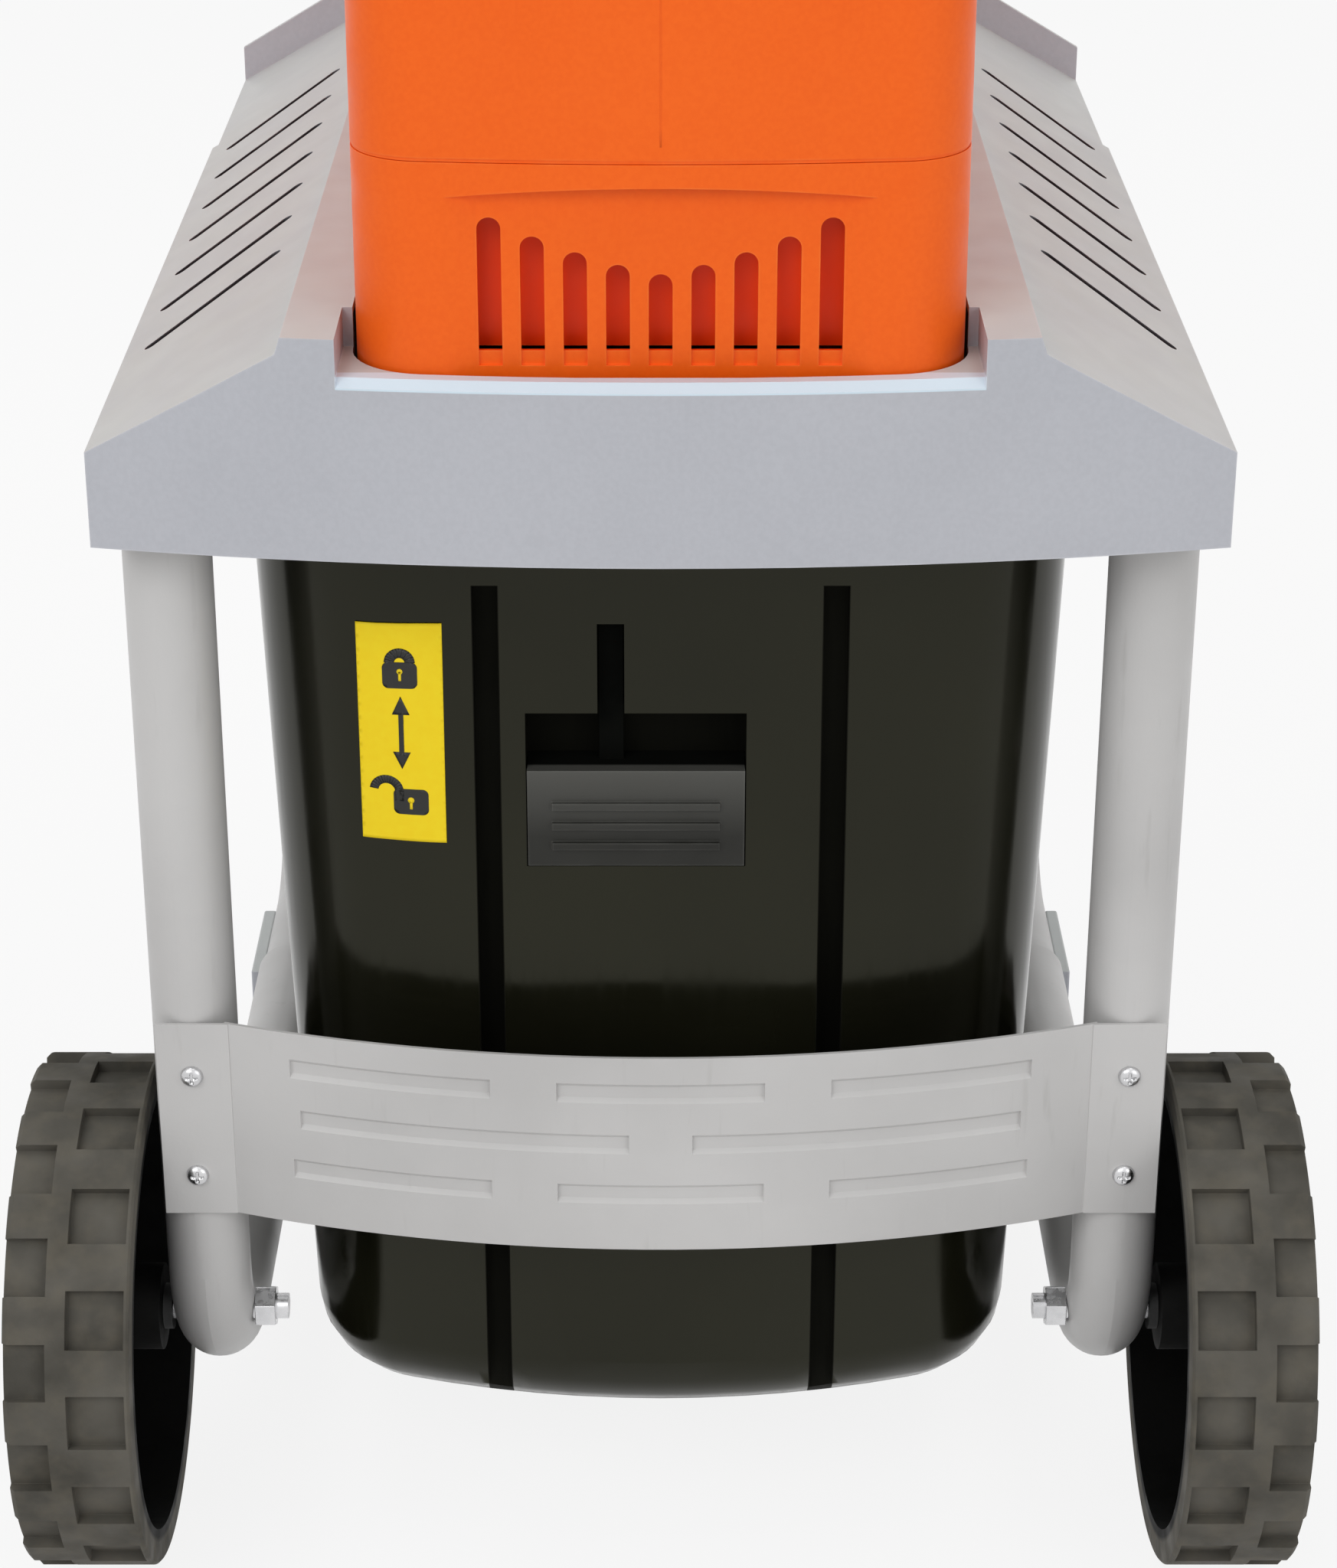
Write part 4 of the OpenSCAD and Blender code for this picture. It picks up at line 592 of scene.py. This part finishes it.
decal("on_mark", Skin("on_button", BACK), [rect(-0.9, -5, 0.9, 5)], middle("on_button"), MARK,
      "on_button", white_ink)
decal("off_mark", Skin("off_button", BACK), bow(0, 0, 3.4, 5.2, 0, 360, 32), middle("off_button"), MARK,
      "off_button", white_ink)
turn_marks = (bow(0, 0, 17.2, 18.6, 50, 80, 8) + bow(0, 0, 17.2, 18.6, 100, 130, 8)
              + [[(13.8, 11.2), (13.4, 16.0), (9.6, 12.6)], [(-13.8, 11.2), (-9.6, 12.6), (-13.4, 16.0)]])
decal("direction_marks", Skin("switch_box", BACK), turn_marks, middle("direction_knob"), MARK,
      "frame", white_ink)
plus = [rect(8, -0.8, 16, 0.8), rect(11.2, 0.8, 12.8, 4), rect(11.2, -4, 12.8, -0.8)]
minus = [rect(-16, -0.8, -8, 0.8)]
adjust_marks = plus + minus + bow(0, 0, 13.4, 14.8, 60, 120, 12)
decal("adjust_marks", Skin("adjusting_knob", BACK), adjust_marks, middle("adjusting_knob"), MARK,
      "adjuster", white_ink)

# Brace screws with a domed head and a cross recess
HEAD_R = 0.0043
HEAD_H = 0.0026
HEAD_SINK = 0.0001
HEAD_RINGS = 18
HEAD_SPOKES = 64
DOME_POWER = 2.6
CROSS_HALF_W = 0.00055
CROSS_REACH = 0.0023
CROSS_DEPTH = 0.0012
CAD_HEAD_R = 0.0045
SAME_POINT = 0.000002


def screw_head(form, x, face_y, z):
    """Adds a head that looks to the front, in rings from its middle."""
    rings = []
    for ring in range(HEAD_RINGS + 1):
        share = ring / HEAD_RINGS
        loop = []
        for spoke in range(HEAD_SPOKES):
            angle = 2 * math.pi * spoke / HEAD_SPOKES
            across = share * HEAD_R * math.cos(angle)
            up = share * HEAD_R * math.sin(angle)
            height = HEAD_H * math.sqrt(max(0.0, 1 - share ** DOME_POWER))
            arm, reach = sorted((abs(across), abs(up)))
            if arm < CROSS_HALF_W and reach < CROSS_REACH:
                height -= CROSS_DEPTH
            loop.append(form.verts.new((x + across, face_y + HEAD_H - height - HEAD_SINK, z + up)))
        rings.append(loop)
    for inner, outer in zip(rings, rings[1:]):
        for k in range(HEAD_SPOKES):
            after = (k + 1) % HEAD_SPOKES
            form.faces.new((inner[k], outer[k], outer[after], inner[after]))


screws_low, screws_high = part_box("brace_screws")
screw_x = screws_high.x - CAD_HEAD_R
form = bmesh.new()
for x in (-screw_x, screw_x):
    for z in (screws_low.z + CAD_HEAD_R, screws_high.z - CAD_HEAD_R):
        screw_head(form, x, screws_low.y, z)
bmesh.ops.remove_doubles(form, verts=form.verts, dist=SAME_POINT)
bmesh.ops.recalc_face_normals(form, faces=form.faces)
heads_mesh = bpy.data.meshes.new("brace_screw_heads")
form.to_mesh(heads_mesh)
form.free()
heads_mesh.shade_smooth()
heads = piece("brace_screw_heads", heads_mesh, "frame", finishes["zinc"])
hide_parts("brace_screws")

# Camera at the photograph's place, tilted down by the pitch
PITCH = 24.5
camera_data = bpy.data.cameras.new("camera")
camera_data.lens = 83.5
camera_data.sensor_width = 36
camera_data.shift_x = 0.005
camera_data.shift_y = -0.024
camera = bpy.data.objects.new("camera", camera_data)
camera.location = (0, -1.404, 0.898)
camera.rotation_euler = (math.radians(90 - PITCH), 0, 0)
bpy.context.scene.collection.objects.link(camera)
bpy.context.scene.camera = camera


def seen_directly(tree):
    """A socket that is 1 for camera, glossy and transmission rays."""
    path = tree.nodes.new("ShaderNodeLightPath")
    rays = [path.outputs["Is Camera Ray"], path.outputs["Is Glossy Ray"],
            path.outputs["Is Transmission Ray"]]
    total = rays[0]
    for ray in rays[1:]:
        larger = tree.nodes.new("ShaderNodeMath")
        larger.operation = "MAXIMUM"
        tree.links.new(total, larger.inputs[0])
        tree.links.new(ray, larger.inputs[1])
        total = larger.outputs[0]
    return total


def mapped(tree, source, low, high):
    """A share socket taken into low to high."""
    node = tree.nodes.new("ShaderNodeMapRange")
    node.inputs["To Min"].default_value = low
    node.inputs["To Max"].default_value = high
    tree.links.new(source, node.inputs["Value"])
    return node.outputs["Result"]


# Strengths of the white surroundings: as light on the part, as seen, and of the floor's own white as seen
SKY_LIGHT = 0.5
SKY_SEEN = 1.0
FLOOR_SEEN = 0.86

# White surroundings
world = bpy.data.worlds.new("studio")
bpy.context.scene.world = world
world.use_nodes = True
sky = world.node_tree.nodes["Background"]
sky.inputs["Color"].default_value = (1, 1, 1, 1)
strength = mapped(world.node_tree, seen_directly(world.node_tree), SKY_LIGHT, SKY_SEEN)
world.node_tree.links.new(strength, sky.inputs["Strength"])

# Floor that keeps the shadow and reaches the horizon
FLOOR_HALF = 60.0
floor_mesh = bpy.data.meshes.new("floor")
floor_corners = [(x * FLOOR_HALF, y * FLOOR_HALF, 0) for x, y in ((-1, -1), (1, -1), (1, 1), (-1, 1))]
floor_mesh.from_pydata(floor_corners, [], [(0, 1, 2, 3)])
floor = bpy.data.objects.new("floor", floor_mesh)
bpy.context.scene.collection.objects.link(floor)
floor_finish = Finish("floor")
floor_finish.set(Base_Color=(0.85, 0.85, 0.85, 1), Roughness=0.9, Specular_IOR_Level=0.0)
glow = floor_finish.add("ShaderNodeEmission")
blend = floor_finish.add("ShaderNodeMixShader")
white_share = mapped(floor_finish.tree, seen_directly(floor_finish.tree), 0.0, FLOOR_SEEN)
floor_finish.link(white_share, blend.inputs["Fac"])
floor_finish.link(floor_finish.shader.outputs["BSDF"], blend.inputs[1])
floor_finish.link(glow.outputs["Emission"], blend.inputs[2])
floor_finish.link(blend.outputs["Shader"], floor_finish.tree.nodes["Material Output"].inputs["Surface"])
floor_mesh.materials.append(floor_finish.material)


def softbox(name, place, aim, width, height, watts):
    """A rectangular lamp that looks at a point."""
    data = bpy.data.lights.new(name, "AREA")
    data.shape = "RECTANGLE"
    data.size = width
    data.size_y = height
    data.energy = watts
    lamp = bpy.data.objects.new(name, data)
    lamp.location = place
    lamp.rotation_euler = (Vector(aim) - Vector(place)).to_track_quat("-Z", "Y").to_euler()
    bpy.context.scene.collection.objects.link(lamp)


# Key from the left, fill from the right and a wide one from above
softbox("key", (-1.6, -2.6, 2.6), (0, 0, 0.4), 2.2, 1.6, 34)
softbox("fill", (2.2, -2.4, 1.6), (0, 0, 0.4), 1.8, 1.8, 16)
softbox("top", (0, 0.2, 3.2), (0, 0, 0.5), 2.6, 2.6, 26)

bpy.context.scene.view_settings.view_transform = "Standard"
